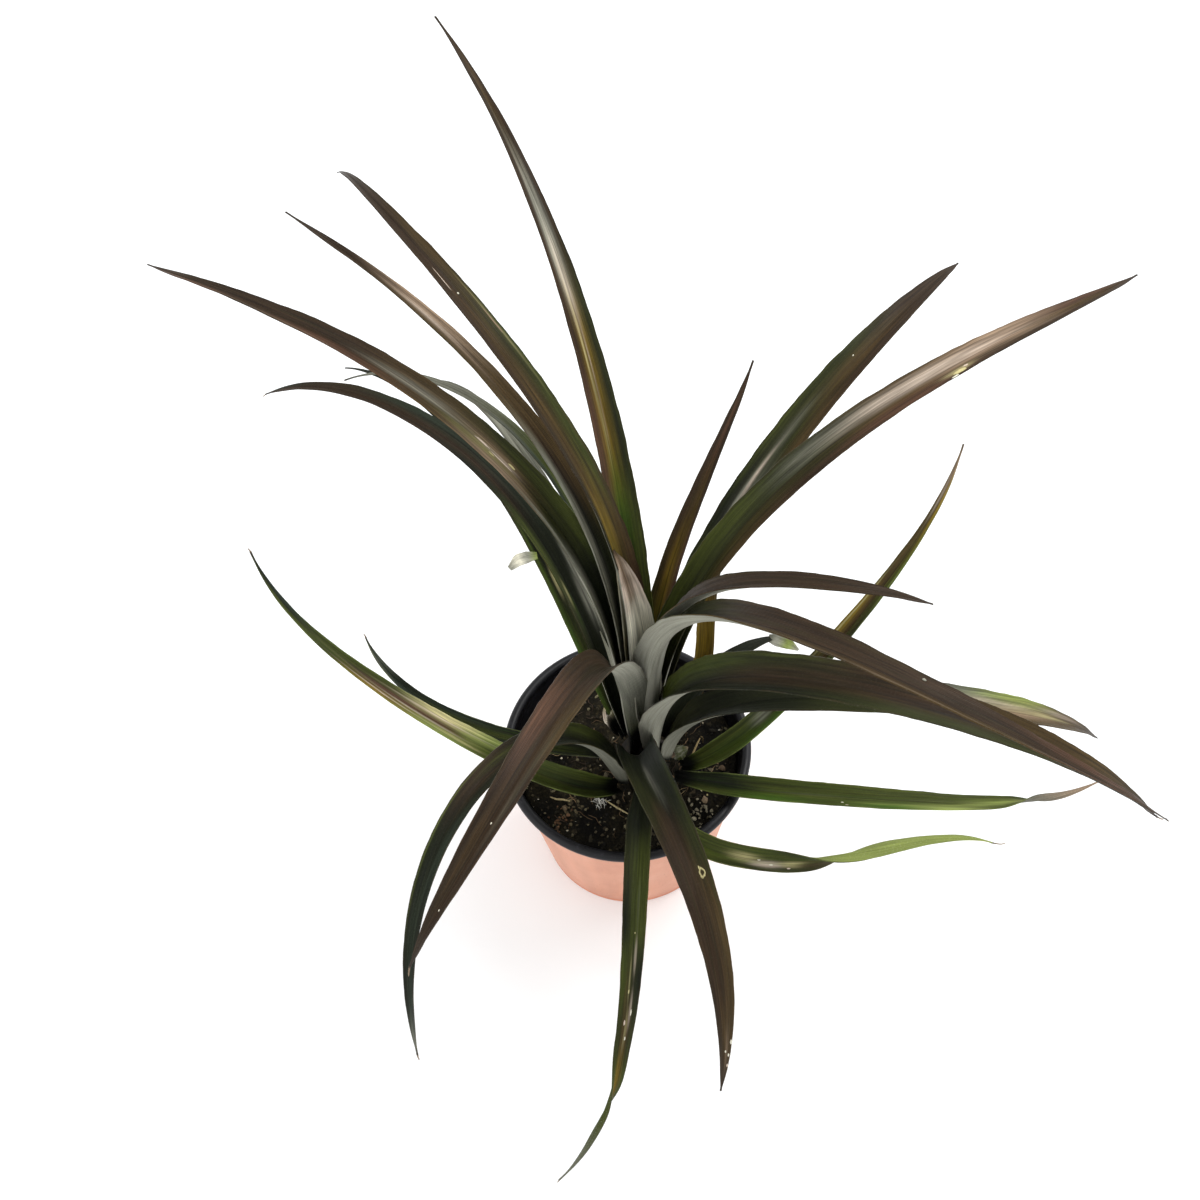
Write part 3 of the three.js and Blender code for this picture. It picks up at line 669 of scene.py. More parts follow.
# ---- leaves
def leaf_piece(name, seed):
    leaf = SHAPES[name]
    blade = Blade(leaf)
    length = leaf.length
    piece, x, y = grid_mesh("skin_" + name, BLADE_COLUMNS, max(30, round(length / BLADE_ROW)))
    u = -np.sign(x) * np.abs(x) ** 0.85
    s = (y + 1) / 2
    side = np.where(u > 0, 1.0, -1.0)
    rim = np.abs(u) ** 3
    ripple = 0.45 * wander(s * length / 24, side * 5, seed + 50, 2)
    notch = 0.035 * wander(s * length / 9, side * 9, seed + 51, 3)
    swell = 0.28 * wander(s * length / 40, u * 1.5, seed + 52, 2)
    if name.startswith("stub"):
        s = s * (1 - 0.16 * np.clip(wander(u * 4, side * 0, seed + 53, 3) + 0.5, 0, 1) * (s > 0.9))
    up = blade.frame_at(s)[3]
    fade = soft_step(0, 0.15, s) * (1 - 0.6 * soft_step(0.8, 1, s))
    points = blade.surface(s, u * (1 + notch * rim)) + up * ((ripple * rim + swell) * fade)[..., None]
    placed(piece, points)
    painted(piece, top_colour(name, s, u, length, seed), "paint")
    painted(piece, under_colour(name, s, u, length, seed), "under")
    laned(piece, u * blade.width(s) / 2, s * length, seed)
    thick = thickness(s, u) * (1 - 0.5 * soft_step(0.9, 1, s))
    thickened(piece, THICK_FULL, thick / THICK_FULL)
    return piece, blade


def flake(blade, mark, seed, lane_seed):
    """A small scar, nick or flake on a leaf's upper side. A ring has an open, sunk middle."""
    hue, ring = mark[0], "ring" in mark
    s, u, long_mm, wide_mm, rise = (float(n) for n in mark[1:6])
    piece, x, y = grid_mesh("scar", FLAKE_CELLS, FLAKE_CELLS)
    radius = np.maximum(np.abs(x), np.abs(y))
    angle = np.arctan2(y, x)
    ragged = 1 + 0.22 * wander(np.cos(angle) * 1.6, np.sin(angle) * 1.6, seed, 3)
    fx, fy = np.cos(angle) * radius * ragged, np.sin(angle) * radius * ragged
    length, width = blade.leaf.length, blade.width(np.full(1, s))[0]
    ss = np.clip(s + fy * long_mm / 2 / length, 0.001, 0.999)
    uu = np.clip(u - fx * wide_mm / width, -1.02, 1.02)
    crest = np.exp(-((radius - 0.7) / 0.2) ** 2) if ring else (1 - radius ** 3)
    lump = 1 + 0.35 * wander(x * 3, y * 3, seed + 1, 2)
    lift = 0.5 * thickness(ss, uu) + rise * crest * lump - 0.12 * (radius > 0.97)
    placed(piece, blade.surface(ss, uu, lift))
    cover = crest if ring else 1 - radius ** 8
    base = np.broadcast_to(HUES["umber"] * 1.2, (len(x), 3))
    colour = mixed(base, HUES[hue], np.clip(cover, 0, 1))
    colour = colour * (1 + 0.25 * wander(x * 5, y * 5, seed + 2, 2))[..., None]
    painted(piece, colour, "paint", "under")
    laned(piece, uu * width / 2, ss * length, lane_seed)
    skinned(piece, 60, leaf_edge)
    return piece


def rows_at(t, knots, rows):
    """Rows of three numbers read at t, between the knots that they stand at."""
    return np.stack([np.interp(t, knots, rows[:, k]) for k in range(3)], -1)


def unit_rows(rows):
    return rows / np.linalg.norm(rows, axis=1)[:, None]


def ribbon(path, widths, facing, top, under, seed, thick=0.5):
    """A narrow strip along points given in millimetres, cupped a little, with its own colours."""
    piece, x, y = grid_mesh("strip", 6, len(path) * 6)
    t = (y + 1) / 2
    path, widths = np.array(path, float), np.array(widths, float)
    knots = np.linspace(0, 1, len(path))
    places = np.linspace(0, 1, 200)
    line = rows_at(places, knots, path)
    for _ in range(60):
        line[1:-1] = line[1:-1] * 0.5 + (line[:-2] + line[2:]) * 0.25
    run = unit_rows(np.gradient(line, axis=0))
    cross = unit_rows(np.cross(np.array(facing, float), run))
    mid, across, ahead = (rows_at(t, places, rows) for rows in (line, cross, run))
    up = np.cross(ahead, across)
    half = np.interp(t, knots, widths) / 2
    u = -x
    cup = half * np.abs(u) * 0.35 + 0.2 * wander(t * 5, u * 2, seed)
    placed(piece, mid + across * (half * u)[..., None] + up * cup[..., None])
    mottle = (1 + 0.25 * wander(t * 12, u * 4, seed + 1))[..., None]
    painted(piece, along_row(top, t) * mottle, "paint")
    painted(piece, along_row(under, t) * mottle, "under")
    laned(piece, u * half, t * 30, seed)
    thickened(piece, thick)
    return piece


def hair_tip(blade, length_mm, bend, seed):
    """The dry hair that the blade's tip runs out into."""
    end, along, side, up = (row[0] for row in blade.frame_at(np.array([0.995])))
    droop = (side * bend + np.array([0, 0, -0.25])) * length_mm
    path = [end + along * t * length_mm + droop * t * t * 0.5 for t in (0, 0.25, 0.5, 0.75, 1)]
    return ribbon(path, (0.8, 0.65, 0.5, 0.4, 0.25), up, "umber tan*2", "umber tan*2", seed, 0.3)


# Marks on leaves: colour, s, u, then length, width and rise in millimetres, and whether it is a ring. The
# cream marks on leaf_upper_left_3 are a scar's pale edges that also carry a painted glint.
MARKS = told("""
    leaf_front: straw 0.555 0.5 5 3.3 0.35 ring, straw 0.545 0.42 2.2 0.9 0.3, white 0.875 0.85 2.6 0.9 0.3,
        white 0.9 0.1 1.5 0.8 0.3, white 0.905 0.7 1.8 0.9 0.3, cream 0.93 0.8 2.2 0.8 0.2;
    leaf_upper_right_2: straw 0.69 -0.72 7 2.3 0.35, cream 0.7 -0.5 3 1.2 0.3,
        white 0.682 -0.95 3.4 1.2 0.25;
    leaf_upper_right_1: white 0.72 0.3 1 0.6 0.2;
    leaf_upper_left_1: white 0.695 -0.1 1.1 0.7 0.2, cream 0.715 0.25 14 0.4 0.08,
        tan 0.65 -0.75 16 0.5 0.08;
    leaf_upper_left_3: cream 0.525 -0.02 9 0.8 0.2, cream 0.495 0.06 13 0.8 0.2, straw 0.51 0.2 4 0.7 0.15,
        straw 0.483 -0.15 4.5 0.8 0.15;
    leaf_folded_left: white 0.78 0.2 1 0.7 0.2, white 0.9 0.25 1 0.7 0.2;
    leaf_right_3: cream 0.535 0.93 2.6 1.2 0.25;
    leaf_right_2: silver 0.68 0.65 1.6 0.9 0.2;
    leaf_low_right: white 0.4 -0.55 1.4 0.8 0.25, cream 0.41 -0.85 1.8 0.6 0.25;
    leaf_low_front: cream 0.45 0.35 6 0.8 0.2, straw 0.53 -0.1 2.2 0.7 0.2, white 0.575 0.35 3.4 0.9 0.25,
        cream 0.6 -0.2 2.6 0.9 0.25, white 0.635 0.1 2 0.8 0.2, straw 0.4 0.1 1.2 0.6 0.2;
    leaf_low_front_right: white 0.4 0 2.6 1 0.2, white 0.43 -0.35 2 0.8 0.2, cream 0.47 -0.6 1.8 0.7 0.2;
    leaf_low_left: cream 0.56 0.28 14 0.7 0.12, straw 0.49 -0.5 12 0.6 0.12, cream 0.62 0.6 11 0.5 0.12
""")

# Hair tips: length in millimetres and sideways bend.
HAIRS = {
    "leaf_right_3": (10, 0.5), "leaf_low_front": (2, -0.3), "leaf_low_front_right": (10, -0.5),
    "leaf_folded_left": (5, 0.3), "leaf_hanging_left": (5, 0.1), "leaf_low_left_small": (4, 0.1),
    "leaf_right_2": (4, 0.3), "leaf_upper_left_4": (3, 0.3), "leaf_low_left": (3, 0.2),
}

# Strips joined to a leaf: a kinked end, a torn lip and a white scrap. Each has the s and u that it
# starts from (None is the origin), its points from there in millimetres, its widths, the way it
# faces, the colours of its two sides and a seed.
STRIPS = {
    "leaf_right_short": (
        (0.93, 0.0), ((-1, 0.6, 0), (3, -1.6, 0.5), (8, -4.2, 0.8), (12.5, -7, -0.6)),
        (3.5, 6.2, 5.4, 1.0), (0, -0.3, 1), "grey silver lime silver", "grey*2", 15),
    "stub_left": (
        None, ((-5.7, 16.6, 99.5), (-8.1, 16.4, 100), (-9.9, 12, 100), (-9.3, 6.4, 100),
               (-6, 3.4, 99.5), (-3.4, 4.8, 99)),
        (0.8, 1.5, 1.2, 1.7, 1.3, 0.7), (0.2, -0.5, 1), "silver straw cream white silver",
        "lime grey", 27),
    "leaf_upper_left_6": (
        (0.44, 0.8), ((1.5, 0, 0), (-3, -1.2, 1), (-7, -3.2, 2), (-11, -7, 1.2)),
        (3, 5.2, 5.6, 2.4), (0.2, -0.6, 1), "lime silver white silver", "grey silver", 5),
}


def strip(blade, start, steps, *rest):
    root = np.zeros(3)
    if start:
        s, u = start
        root = blade.surface(np.array([s]), np.array([u]))[0]
    return ribbon([root + np.array(step) for step in steps], *rest)


def all_leaves():
    for seed, name in enumerate(SHAPES):
        piece, blade = leaf_piece(name, seed)
        parts = [piece]
        for k, mark in enumerate(rows_of(MARKS.get(name, ""))):
            parts.append(flake(blade, mark, seed * 9 + k, seed))
        if name in HAIRS:
            parts.append(hair_tip(blade, *HAIRS[name], seed))
        if name in STRIPS:
            parts.append(strip(blade, *STRIPS[name]))
        finished(joined(parts, "skin_" + name), name, name)


# ---- pot
def terracotta_material():
    m, tree, skin = material("terracotta_plastic")
    where = object_coordinates(tree)
    mottle = clouds(tree, where, 38.0, 5.0, Roughness=0.6)
    flow = clouds(tree, stretched(tree, where, (90, 90, 9)), 1.0, 3.0)
    dust = clouds(tree, where, 900.0, 3.0)
    colour = ramp(tree, mottle, [(0.3, "cf9075"), (0.5, "d69a80"), (0.72, "dca48d")])
    colour = multiplied(tree, colour, grey_ramp(tree, flow, [(0.35, 0.93), (0.65, 1.05)]))
    height = add(tree, "ShaderNodeSeparateXYZ", Vector=where).outputs["Z"]
    low = grey_ramp(tree, math_node(tree, "MULTIPLY", height, 100.0), [(0.25, 1.0), (0.9, 0.0)])
    colour = tinted(tree, colour, low, 0.35, "c9785a")
    specks = grey_ramp(tree, dust, [(0.66, 0.0), (0.74, 1.0)])
    colour = tinted(tree, colour, specks, 0.4, "6b4636")
    wire(tree, skin, Base_Color=colour, Roughness=grey_ramp(tree, mottle, [(0.3, 0.5), (0.7, 0.64)]),
         Specular_IOR_Level=0.4, Normal=bumps(tree, clouds(tree, where, 1500.0, 2.0), 0.12, 0.0002))
    return m


def black_plastic_material():
    m, tree, skin = material("black_plastic")
    where = object_coordinates(tree)
    mottle = clouds(tree, where, 70.0, 5.0, Roughness=0.65)
    scuff = clouds(tree, stretched(tree, where, (260, 260, 1400)), 1.0, 4.0)
    colour = ramp(tree, mottle, [(0.35, "08080b"), (0.6, "0e0e13"), (0.8, "191820")])
    colour = tinted(tree, colour, grey_ramp(tree, scuff, [(0.6, 0.0), (0.78, 1.0)]), 0.3, "4a4952")
    wire(tree, skin, Base_Color=colour, Roughness=grey_ramp(tree, mottle, [(0.35, 0.33), (0.75, 0.55)]),
         Specular_IOR_Level=0.3, Normal=bumps(tree, scuff, 0.15, 0.0002))
    return m


def wall_radius(z):
    """The pot wall's outer radius at a height."""
    rise = (z - FLOOR_THICKNESS) / (POT_HEIGHT - 2 * ROLL_RADIUS + 0.8 - FLOOR_THICKNESS)
    return FOOT_RADIUS + (WALL_TOP_RADIUS - FOOT_RADIUS) * rise


def spun(name, profile, steps):
    """A profile of radius and height in millimetres, spun round the axis into a closed body."""
    piece = made(bpy.ops.mesh.primitive_circle_add, vertices=len(profile), radius=0.01)
    named(piece, name)
    placed(piece, [(r, 0, z) for r, z in profile])
    edit_mode(True)
    bpy.ops.mesh.select_all(action="SELECT")
    bpy.ops.mesh.spin(steps=steps, angle=2 * math.pi, center=(0, 0, 0), axis=(0, 0, 1))
    bpy.ops.mesh.select_all(action="SELECT")
    bpy.ops.mesh.remove_doubles(threshold=1e-5)
    bpy.ops.mesh.dissolve_degenerate(threshold=1e-6)
    bpy.ops.mesh.normals_make_consistent(inside=False)
    edit_mode(False)
    return piece


def wavered(points, amount, turns, height, mask, seed, octaves=2):
    """Moves points in and out from the axis by smooth random amounts, where the mask lets them."""
    around = np.arctan2(points[:, 1], points[:, 0])
    rise = points[:, 2] / height
    wave = amount * wander(np.cos(around) * turns, np.sin(around) * turns + rise, seed, octaves)
    reach = np.maximum(np.hypot(points[:, 0], points[:, 1]), 1)
    points[:, :2] *= (1 + wave * mask / reach)[:, None]


def pot_piece():
    bead_r, bead_z = RIM_RADIUS - ROLL_RADIUS, POT_HEIGHT - ROLL_RADIUS
    # Underside, with a foot ring, and a shallow groove low on the wall.
    profile = [(0, 1.1), (36, 1.1), (38, 0.9), (39, 0.15), (39.6, 0), (43.6, 0), (44.4, 0.2), (44.9, 0.8)]
    profile += [(wall_radius(z) + dr, z) for z, dr in ((1.9, 0), (2.6, -0.35), (3.1, -0.4), (3.8, 0))]
    profile += [(wall_radius(z), z) for z in (12, 24, 36, 48, 60, 70, 78, 82.2)]
    # Rolled rim.
    start = math.atan2(82.6 - bead_z, WALL_TOP_RADIUS + 0.2 - bead_r)
    for k in range(17):
        a = start + (math.radians(212) - start) * k / 16
        profile.append((bead_r + ROLL_RADIUS * math.cos(a), bead_z + ROLL_RADIUS * math.sin(a)))
    # Inside wall and floor.
    profile += [(wall_radius(z) - WALL_THICKNESS, z) for z in (81, 76, 70, 55, 40, 20, 3.0)]
    profile += [(FOOT_RADIUS - WALL_THICKNESS - 1.2, 1.9), (0, 1.9)]
    piece = spun("pot_shell", profile, POT_SIDES)
    points = vertices_of(piece)
    high = soft_step(10, 60, points[:, 2]) * (1 - soft_step(78, 83, points[:, 2]))
    wavered(points, 0.12, 1.5, 60, high, 71)
    placed(piece, points)
    skinned(piece, 40, terracotta_material(), black_plastic_material())
    for face in piece.data.polygons:
        r = math.hypot(face.center.x, face.center.y) / MM
        z = face.center.z / MM
        outside = r > wall_radius(min(z, 82)) - 0.6 and z < 84
        face.material_index = 0 if outside or z < 1.5 else 1
    finished(piece, "terracotta", "pot")


# ---- soil
def peat_height(x, y):
    """The peat's broad shape: the same gentle lumps as in the solid."""
    return (PEAT_TOP + 0.9 * np.sin(0.13 * x + 1.3) * np.cos(0.11 * y - 0.4)
            + 0.5 * np.sin(0.41 * x + 0.23 * y) + 0.35 * np.cos(0.83 * x - 0.61 * y + 2))


def soil_relief(x, y):
    """Lumps and grains on top of the peat's broad shape, in millimetres."""
    return 0.9 * wander(x / 7, y / 7, 81, 3) + 0.55 * wander(x / 2.4, y / 2.4, 82, 2)


def peat_material():
    m, tree, skin = material("peat")
    where = object_coordinates(tree)
    broad = clouds(tree, where, 45.0, 4.0)
    fine = clouds(tree, where, 650.0, 6.0, Roughness=0.75)
    grains = add(tree, "ShaderNodeTexVoronoi", Vector=where, Scale=520.0)
    colour = ramp(tree, fine, [(0.32, "100f0a"), (0.5, "242117"), (0.62, "3c3729"), (0.78, "77705a")])
    colour = multiplied(tree, colour, ramp(tree, broad, [(0.4, "565040"), (0.62, "e2dac4")]))
    pale = grey_ramp(tree, grains.outputs["Color"], [(0.9, 0.0), (0.96, 1.0)])
    colour = tinted(tree, colour, pale, 0.35, "8d7c63")
    height = math_node(tree, "ADD", fine, math_node(tree, "MULTIPLY", grains.outputs["Distance"], 0.8))
    wire(tree, skin, Base_Color=colour, Roughness=0.92, Specular_IOR_Level=0.2,
         Normal=bumps(tree, height, 0.8, 0.0007))
    return m


def crumb_material(name, rough):
    m, tree, skin = material(name)
    fine = clouds(tree, object_coordinates(tree), 1400.0, 4.0, Roughness=0.7)
    mottle = grey_ramp(tree, fine, [(0.3, 0.55), (0.5, 1.0), (0.72, 1.4)])
    wire(tree, skin, Base_Color=multiplied(tree, attribute(tree, "paint"), mottle), Roughness=rough,
         Specular_IOR_Level=0.25, Normal=bumps(tree, fine, 0.6, 0.0004))
    return m


def soil_piece():
    outer = wall_radius(PEAT_TOP) - WALL_THICKNESS - 0.3
    low = [(0, 2.2), (FOOT_RADIUS - 3, 2.2), (wall_radius(30) - 1.7, 30), (wall_radius(60) - 1.7, 60)]
    top = [(outer * (1 - k / PEAT_RINGS), PEAT_TOP - (1.2 if k == 0 else 0)) for k in range(PEAT_RINGS + 1)]
    piece = spun("peat_body", low + top, PEAT_SIDES)
    points = vertices_of(piece)
    x, y = points[:, 0], points[:, 1]
    on_top = points[:, 2] > PEAT_TOP - 0.5
    inside = soft_step(0, 5, outer - np.hypot(x, y))
    points[on_top, 2] = (peat_height(x, y) + soil_relief(x, y) * (0.4 + 0.6 * inside))[on_top]
    placed(piece, points)
    skinned(piece, 80, peat_material())
    finished(piece, "peat", "soil")
    return outer


def peat_spot(rng, outer):
    """A random place on the peat, clear of the stem."""
    while True:
        r, a = outer * math.sqrt(rng.random()) * 0.985, rng.uniform(0, FULL_CIRCLE)
        x, y = r * math.cos(a), r * math.sin(a)
        if math.hypot(x - STEM_X, y - STEM_Y) > 10:
            return x, y


def peat_top(x, y):
    a = np.array([x]), np.array([y])
    return float((peat_height(*a) + soil_relief(*a))[0])


def loose(pieces, name, skin):
    """Joins crumbs or strands into one piece that lies on the peat."""
    piece = joined(pieces, name)
    piece.data.materials.clear()
    piece.data.materials.append(skin)
    finished(piece, "peat")


def crumb(x, y, size, hue, rng):
    """One crumb: a small ball, squashed and dented, lying on the peat."""
    piece = made(bpy.ops.mesh.primitive_ico_sphere_add, subdivisions=1, radius=size * MM)
    points = vertices_of(piece)
    stretch = np.array([rng.uniform(0.6, 1.6), rng.uniform(0.6, 1.3), rng.uniform(0.4, 1.0)])
    dent = np.array([[rng.uniform(0.62, 1.3)] for _ in points])
    spin = Matrix.Rotation(rng.uniform(0, 6.28), 3, "Z")
    turn = np.array(spin @ Matrix.Rotation(rng.uniform(-0.6, 0.6), 3, "X"))
    placed(piece, (points * stretch * dent) @ turn.T + (x, y, peat_top(x, y) + size * 0.25))
    painted(piece, np.broadcast_to(linear(hue) * rng.uniform(0.75, 1.25), (len(points), 3)), "paint")
    return piece


# Crumb colours, and heaps of crumbs: middle, spread in millimetres and colours.
DARK_CRUMBS, WARM_CRUMBS = ("1c1912", "2a261b", "353023", "16140f"), ("4d4533", "5f5744", "6f6850", "463e2e")
PALE_CRUMBS = ("bdb49c", "a89c84", "d6d0bd")
HEAPS = (
    ((33, -32), 8, ("8f8874", "a69e86", "7a735f")), ((37.5, -17.5), 7, ("c9c092", "b5a878", "d9d4b4")),
    ((-35, -30), 9, ("6b4f38", "7d5f45", "54412f")), ((-28, -24), 8, ("4e4632", "6b6148")))
LARGE_CRUMBS = ((-31.8, -24.9, 1.7, "6b5b46"), (35.6, -26, 2.0, "82705a"), (45.4, -9.5, 1.8, "6e5c49"))


def crumbs(outer):
    rng = random.Random(21)
    grains = []
    for k in range(CRUMB_COUNT):
        x, y = peat_spot(rng, outer)
        kind = rng.random()
        family = DARK_CRUMBS if kind < 0.62 else WARM_CRUMBS if kind < 0.94 else PALE_CRUMBS
        if family is PALE_CRUMBS:
            size = rng.uniform(0.25, 0.7)
        else:
            size = rng.uniform(0.3, 0.95) * (1.8 if k % 23 == 0 else 1)
        grains.append(crumb(x, y, size, rng.choice(family), rng))
        if len(grains) > JOIN_EVERY:
            grains = [joined(grains)]
    for (cx, cy), spread, hues in HEAPS:
        for _ in range(HEAP_CRUMBS):
            x, y = cx + rng.gauss(0, spread * 0.45), cy + rng.gauss(0, spread * 0.4)
            if math.hypot(x, y) < outer - 1.5:
                grains.append(crumb(x, y, rng.uniform(0.4, 1.1), rng.choice(hues), rng))
    for x, y, size, hue in LARGE_CRUMBS:
        grains.append(crumb(x, y, size, hue, rng))
    loose(grains, "peat_crumbs", crumb_material("peat_crumb", 0.85))


def fibre(path, radius, hue):
    """A thin dry root or straw through points in millimetres."""
    piece = made(bpy.ops.mesh.primitive_cylinder_add, vertices=5, radius=radius * MM, depth=1)
    edit_mode(True)
    bpy.ops.mesh.select_all(action="DESELECT")
    edit_mode(False)
    for edge in piece.data.edges:
        a, b = (piece.data.vertices[v].co.z for v in edge.vertices)
        edge.select = abs(a - b) > 0.5
    edit_mode(True)
    bpy.ops.mesh.subdivide(number_cuts=9)
    edit_mode(False)
    points = vertices_of(piece)
    t = points[:, 2] * MM + 0.5
    path = np.array(path, float)
    mid = rows_at(t, np.linspace(0, 1, len(path)), path)
    run = path[-1] - path[0]
    run /= np.linalg.norm(run)
    side = np.cross(run, (0, 0, 1.0))
    side /= np.linalg.norm(side)
    up = np.cross(side, run)
    taper = (1 - 0.5 * np.abs(2 * t - 1) ** 2)[:, None]
    placed(piece, mid + (side * points[:, :1] + up * points[:, 1:2]) * taper)
    painted(piece, np.broadcast_to(linear(hue), (len(points), 3)), "paint")
    return piece


# Single straws: the two ends on the peat, radius and colour. Then free ones, point by point.
STRAWS = (((-12.4, -22.2), (0, -31.1), 0.45, "c8b88a"), ((-38.8, -18), (-29.3, -21.9), 0.5, "b7a67c"))
FREE_STRAWS = (
    ([(35.7, 2.4, 84), (33.8, -1.4, 84.6), (31.8, -5.3, 84.5), (29.8, -9.1, 84)], 0.5, "8d7a55"),
    ([(36.2, 3.2, 84.2), (37.2, 5, 79), (37.6, 5.6, 73)], 0.45, "7c6a4a"))


def random_strand(rng, outer):
    """The path of one strand that winds over the peat. It stops at the pot wall."""
    x, y = peat_spot(rng, outer - 6)
    length, a = rng.uniform(4, 13), rng.uniform(0, FULL_CIRCLE)
    path = []
    for j in range(5):
        px, py = x + length * j / 4 * math.cos(a), y + length * j / 4 * math.sin(a)
        a += rng.uniform(-0.35, 0.35)
        if math.hypot(px, py) > outer - 1:
            break
        path.append((px, py, peat_top(px, py) + (0.1 if j in (0, 4) else rng.uniform(0.4, 1.0))))
    return path


def fibres(outer):
    rng = random.Random(22)
    strands = []
    for _ in range(STRAND_COUNT):
        path = random_strand(rng, outer)
        if len(path) > 2:
            hue = rng.choice(("6f5a42", "8b7355", "3c3026", "a18c69", "54432f"))
            strands.append(fibre(path, rng.uniform(0.14, 0.3), hue))
    for (ax, ay), (bx, by), radius, hue in STRAWS:
        path = [(ax + (bx - ax) * t, ay + (by - ay) * t) for t in (0, 0.33, 0.66, 1)]
        strands.append(fibre([(x, y, peat_top(x, y) + 0.8) for x, y in path], radius, hue))
    strands += [fibre(*straw) for straw in FREE_STRAWS]
    # A tuft of white threads.
    for _ in range(THREAD_COUNT):
        x, y = -14.9 + rng.gauss(0, 1.5), -23.6 + rng.gauss(0, 1.5)
        a = rng.uniform(0, 6.28)
        path = [(x + d * math.cos(a), y + d * math.sin(a), peat_top(x, y) + 0.4 + h)
                for d, h in ((-1.6, 0), (-0.5, 0.9), (0.6, 0.9), (1.6, 0.1))]
        strands.append(fibre(path, 0.12, "e8e6dc"))
    loose(strands, "peat_fibres", crumb_material("dry_fibre", 0.7))


# ---- stem and bud
def bark_material():
    m, tree, skin = material("stem_bark")
    fine = clouds(tree, stretched(tree, object_coordinates(tree), (400, 400, 160)), 1.0, 5.0, Roughness=0.7)
    # Painted shade: the bark is near-black, so the stem's top reads as the dark mouth among the leaf feet.
    wire(tree, skin, Base_Color=ramp(tree, fine, [(0.3, "15110c"), (0.5, "1c170f"), (0.75, "3a3122")]),
         Roughness=0.85, Normal=bumps(tree, fine, 0.5, 0.0005))
    return m


def stem_piece():
    """The stem: a stout cone in the peat, ringed with the scars of old leaves."""
    profile = [(0, 35), (5, 35.5), (9, 40), (9, 74), (10, 76)]
    for t in (k / 18 for k in range(19)):
        radius, z = 13.1 + (3.6 - 13.1) * t, 82 + 26 * t
        profile += [(radius, z), (radius - 0.45, z + 0.7)]
    piece = spun("stem_core", profile + [(2.4, 111.5), (0, 111.8)], STEM_SIDES)
    points = vertices_of(piece)
    wavered(points, 0.35, 3, 5, points[:, 2] > 75, 91, 3)
    points[:, :2] += (STEM_X, STEM_Y)
    placed(piece, points)
    skinned(piece, 50, bark_material())
    finished(piece, "stem", "stem")


BUD_X, BUD_Y, BUD_Z, BUD_RADIUS, BUD_HEIGHT, BUD_LEAN = 22.0, -6.2, 83.5, 3.6, 11.0, 40.0


def bud_girth(t):
    return np.sin(np.pi * np.clip(t, 0, 1) ** 0.72) ** 0.8


def bud_layer(grow, top, opening, turn, seed):
    """One egg-shaped layer of the bud. Outer layers are open on one side and shorter."""
    piece = made(bpy.ops.mesh.primitive_uv_sphere_add, segments=40, ring_count=24, radius=1)
    points = raw_vertices(piece)
    t = (points[:, 2] + 1) / 2
    around = np.arctan2(points[:, 1], points[:, 0]) + turn
    lobe = 1 + 0.06 * np.cos(around * 3 + t * 4) - 0.04 * np.cos(around * 18)
    limit = top * (1 - opening * (0.5 + 0.5 * np.cos(around)))
    z = np.minimum(t, limit) * BUD_HEIGHT
    girth = np.where(t > limit, bud_girth(limit) * (1 - (t - limit)), bud_girth(t))
    radius = (BUD_RADIUS - 0.25 + grow) * girth * lobe
    local = np.stack([radius * np.cos(around), radius * np.sin(around), z], -1)
    lean = math.radians(BUD_LEAN)
    tilt = np.array([[math.cos(lean), 0, math.sin(lean)], [0, 1, 0], [-math.sin(lean), 0, math.cos(lean)]])
    placed(piece, local @ tilt.T + (BUD_X, BUD_Y, BUD_Z))
    # The pale silver blotches are the bud's own scurf together with painted highlights.
    pale = soft_step(-0.3, 0.8, wander(np.cos(around) * 2, t * 3, seed))
    colour = mixed(np.broadcast_to(HUES["moss"] * 0.8, local.shape), HUES["silver"], pale * 0.75)
    colour = mixed(colour, HUES["tan"], soft_step(0.85, 1, t) * 0.6)
    painted(piece, colour, "paint", "under")
    laned(piece, around * BUD_RADIUS, t * BUD_HEIGHT, seed)
    skinned(piece, 60, leaf_top)
    return piece


def bud_piece():
    layers = ((-0.35, 1.0, 0.0, 0.0, 5), (0.0, 0.9, 0.45, 1.2, 6), (0.25, 0.62, 0.4, 4.0, 7))
    piece = joined([bud_layer(*layer) for layer in layers], "skin_side_bud")
    finished(piece, "bud", "side_bud")


# ---- camera, floor and light
CAMERA_PLACE, CAMERA_DOWN, CAMERA_ROLL = (-0.0079, -0.3645, 0.7715), 0.9903, -0.0717
LENS, SENSOR = 48, 36
SKY_STRENGTH, FLOOR_GLOW, FLOOR_SIZE = 0.96, 0.14, 30
# Lamps: name, place, size in metres and watts.
LAMPS = (("key", (0.9, 0.5, 1.6), 1.1, 22), ("fill", (-1.3, -0.9, 1.2), 1.4, 6))


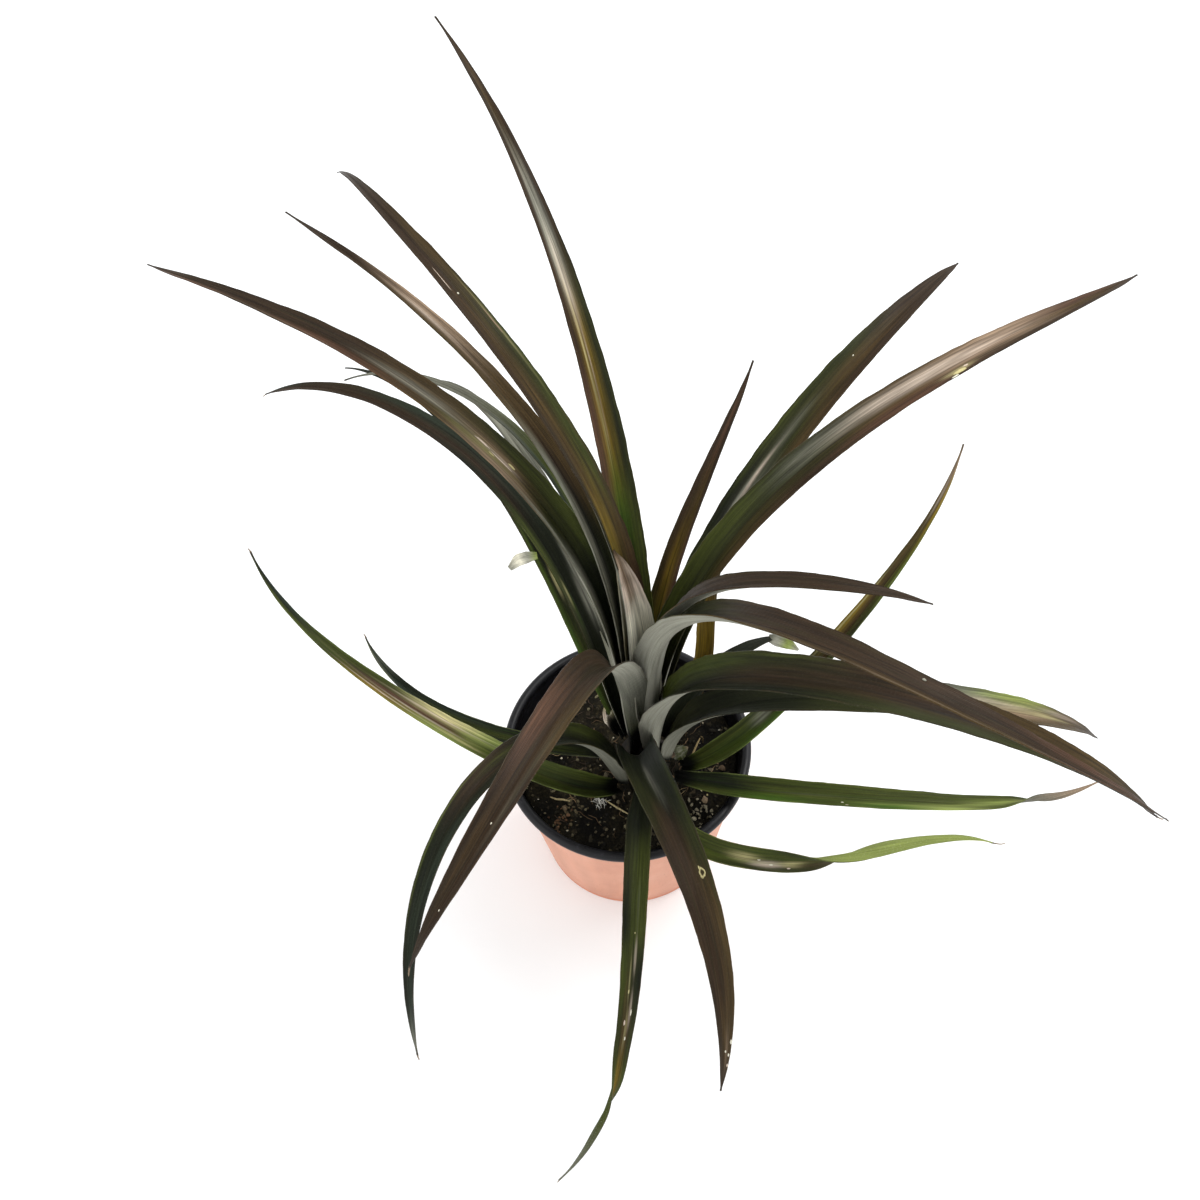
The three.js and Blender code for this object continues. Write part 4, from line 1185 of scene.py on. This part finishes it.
def linked(name, data):
    thing = bpy.data.objects.new(name, data)
    bpy.context.collection.objects.link(thing)
    return thing


def photo_camera():
    """The main view, from above and in front of the pot, tilted a little."""
    data = bpy.data.cameras.new("photo_camera")
    data.lens = LENS
    data.sensor_width = SENSOR
    data.clip_start = 0.01
    camera = linked("photo_camera", data)
    ahead = Vector((0, math.cos(CAMERA_DOWN), -math.sin(CAMERA_DOWN)))
    level = Vector((1, 0, 0))
    above = Vector((0, math.sin(CAMERA_DOWN), math.cos(CAMERA_DOWN)))
    right = level * math.cos(CAMERA_ROLL) + above * math.sin(CAMERA_ROLL)
    top = above * math.cos(CAMERA_ROLL) - level * math.sin(CAMERA_ROLL)
    turned = Matrix((right, top, -ahead)).transposed().to_4x4()
    camera.matrix_world = Matrix.Translation(CAMERA_PLACE) @ turned
    bpy.context.scene.camera = camera


def lamps():
    for name, place, size, power in LAMPS:
        data = bpy.data.lights.new(name, "AREA")
        data.size = size
        data.energy = power
        lamp = linked(name, data)
        lamp.location = place
        lamp.rotation_euler = (Vector((0, 0, 0.1)) - Vector(place)).to_track_quat("-Z", "Y").to_euler()


def studio():
    world = bpy.data.worlds.new("studio")
    bpy.context.scene.world = world
    world.use_nodes = True
    tree = world.node_tree
    wire(tree, tree.nodes["Background"], Color=(1, 1, 1, 1), Strength=SKY_STRENGTH)
    bpy.context.scene.view_settings.view_transform = "Standard"
    lamps()
    floor = made(bpy.ops.mesh.primitive_plane_add, size=FLOOR_SIZE)
    floor.name = "floor"
    m, tree, skin = material("pale_floor")
    cloud = clouds(tree, object_coordinates(tree), 1.5, 2.0)
    wire(tree, skin, Base_Color=ramp(tree, cloud, [(0.3, (0.85, 0.87, 0.88)), (0.7, (0.88, 0.9, 0.91))]),
         Roughness=0.9, Emission_Color=(1, 1, 1, 1), Emission_Strength=FLOOR_GLOW)
    floor.data.materials.append(m)


photo_camera()
studio()
pot_piece()
soil_radius = soil_piece()
crumbs(soil_radius)
fibres(soil_radius)
stem_piece()
bud_piece()
all_leaves()
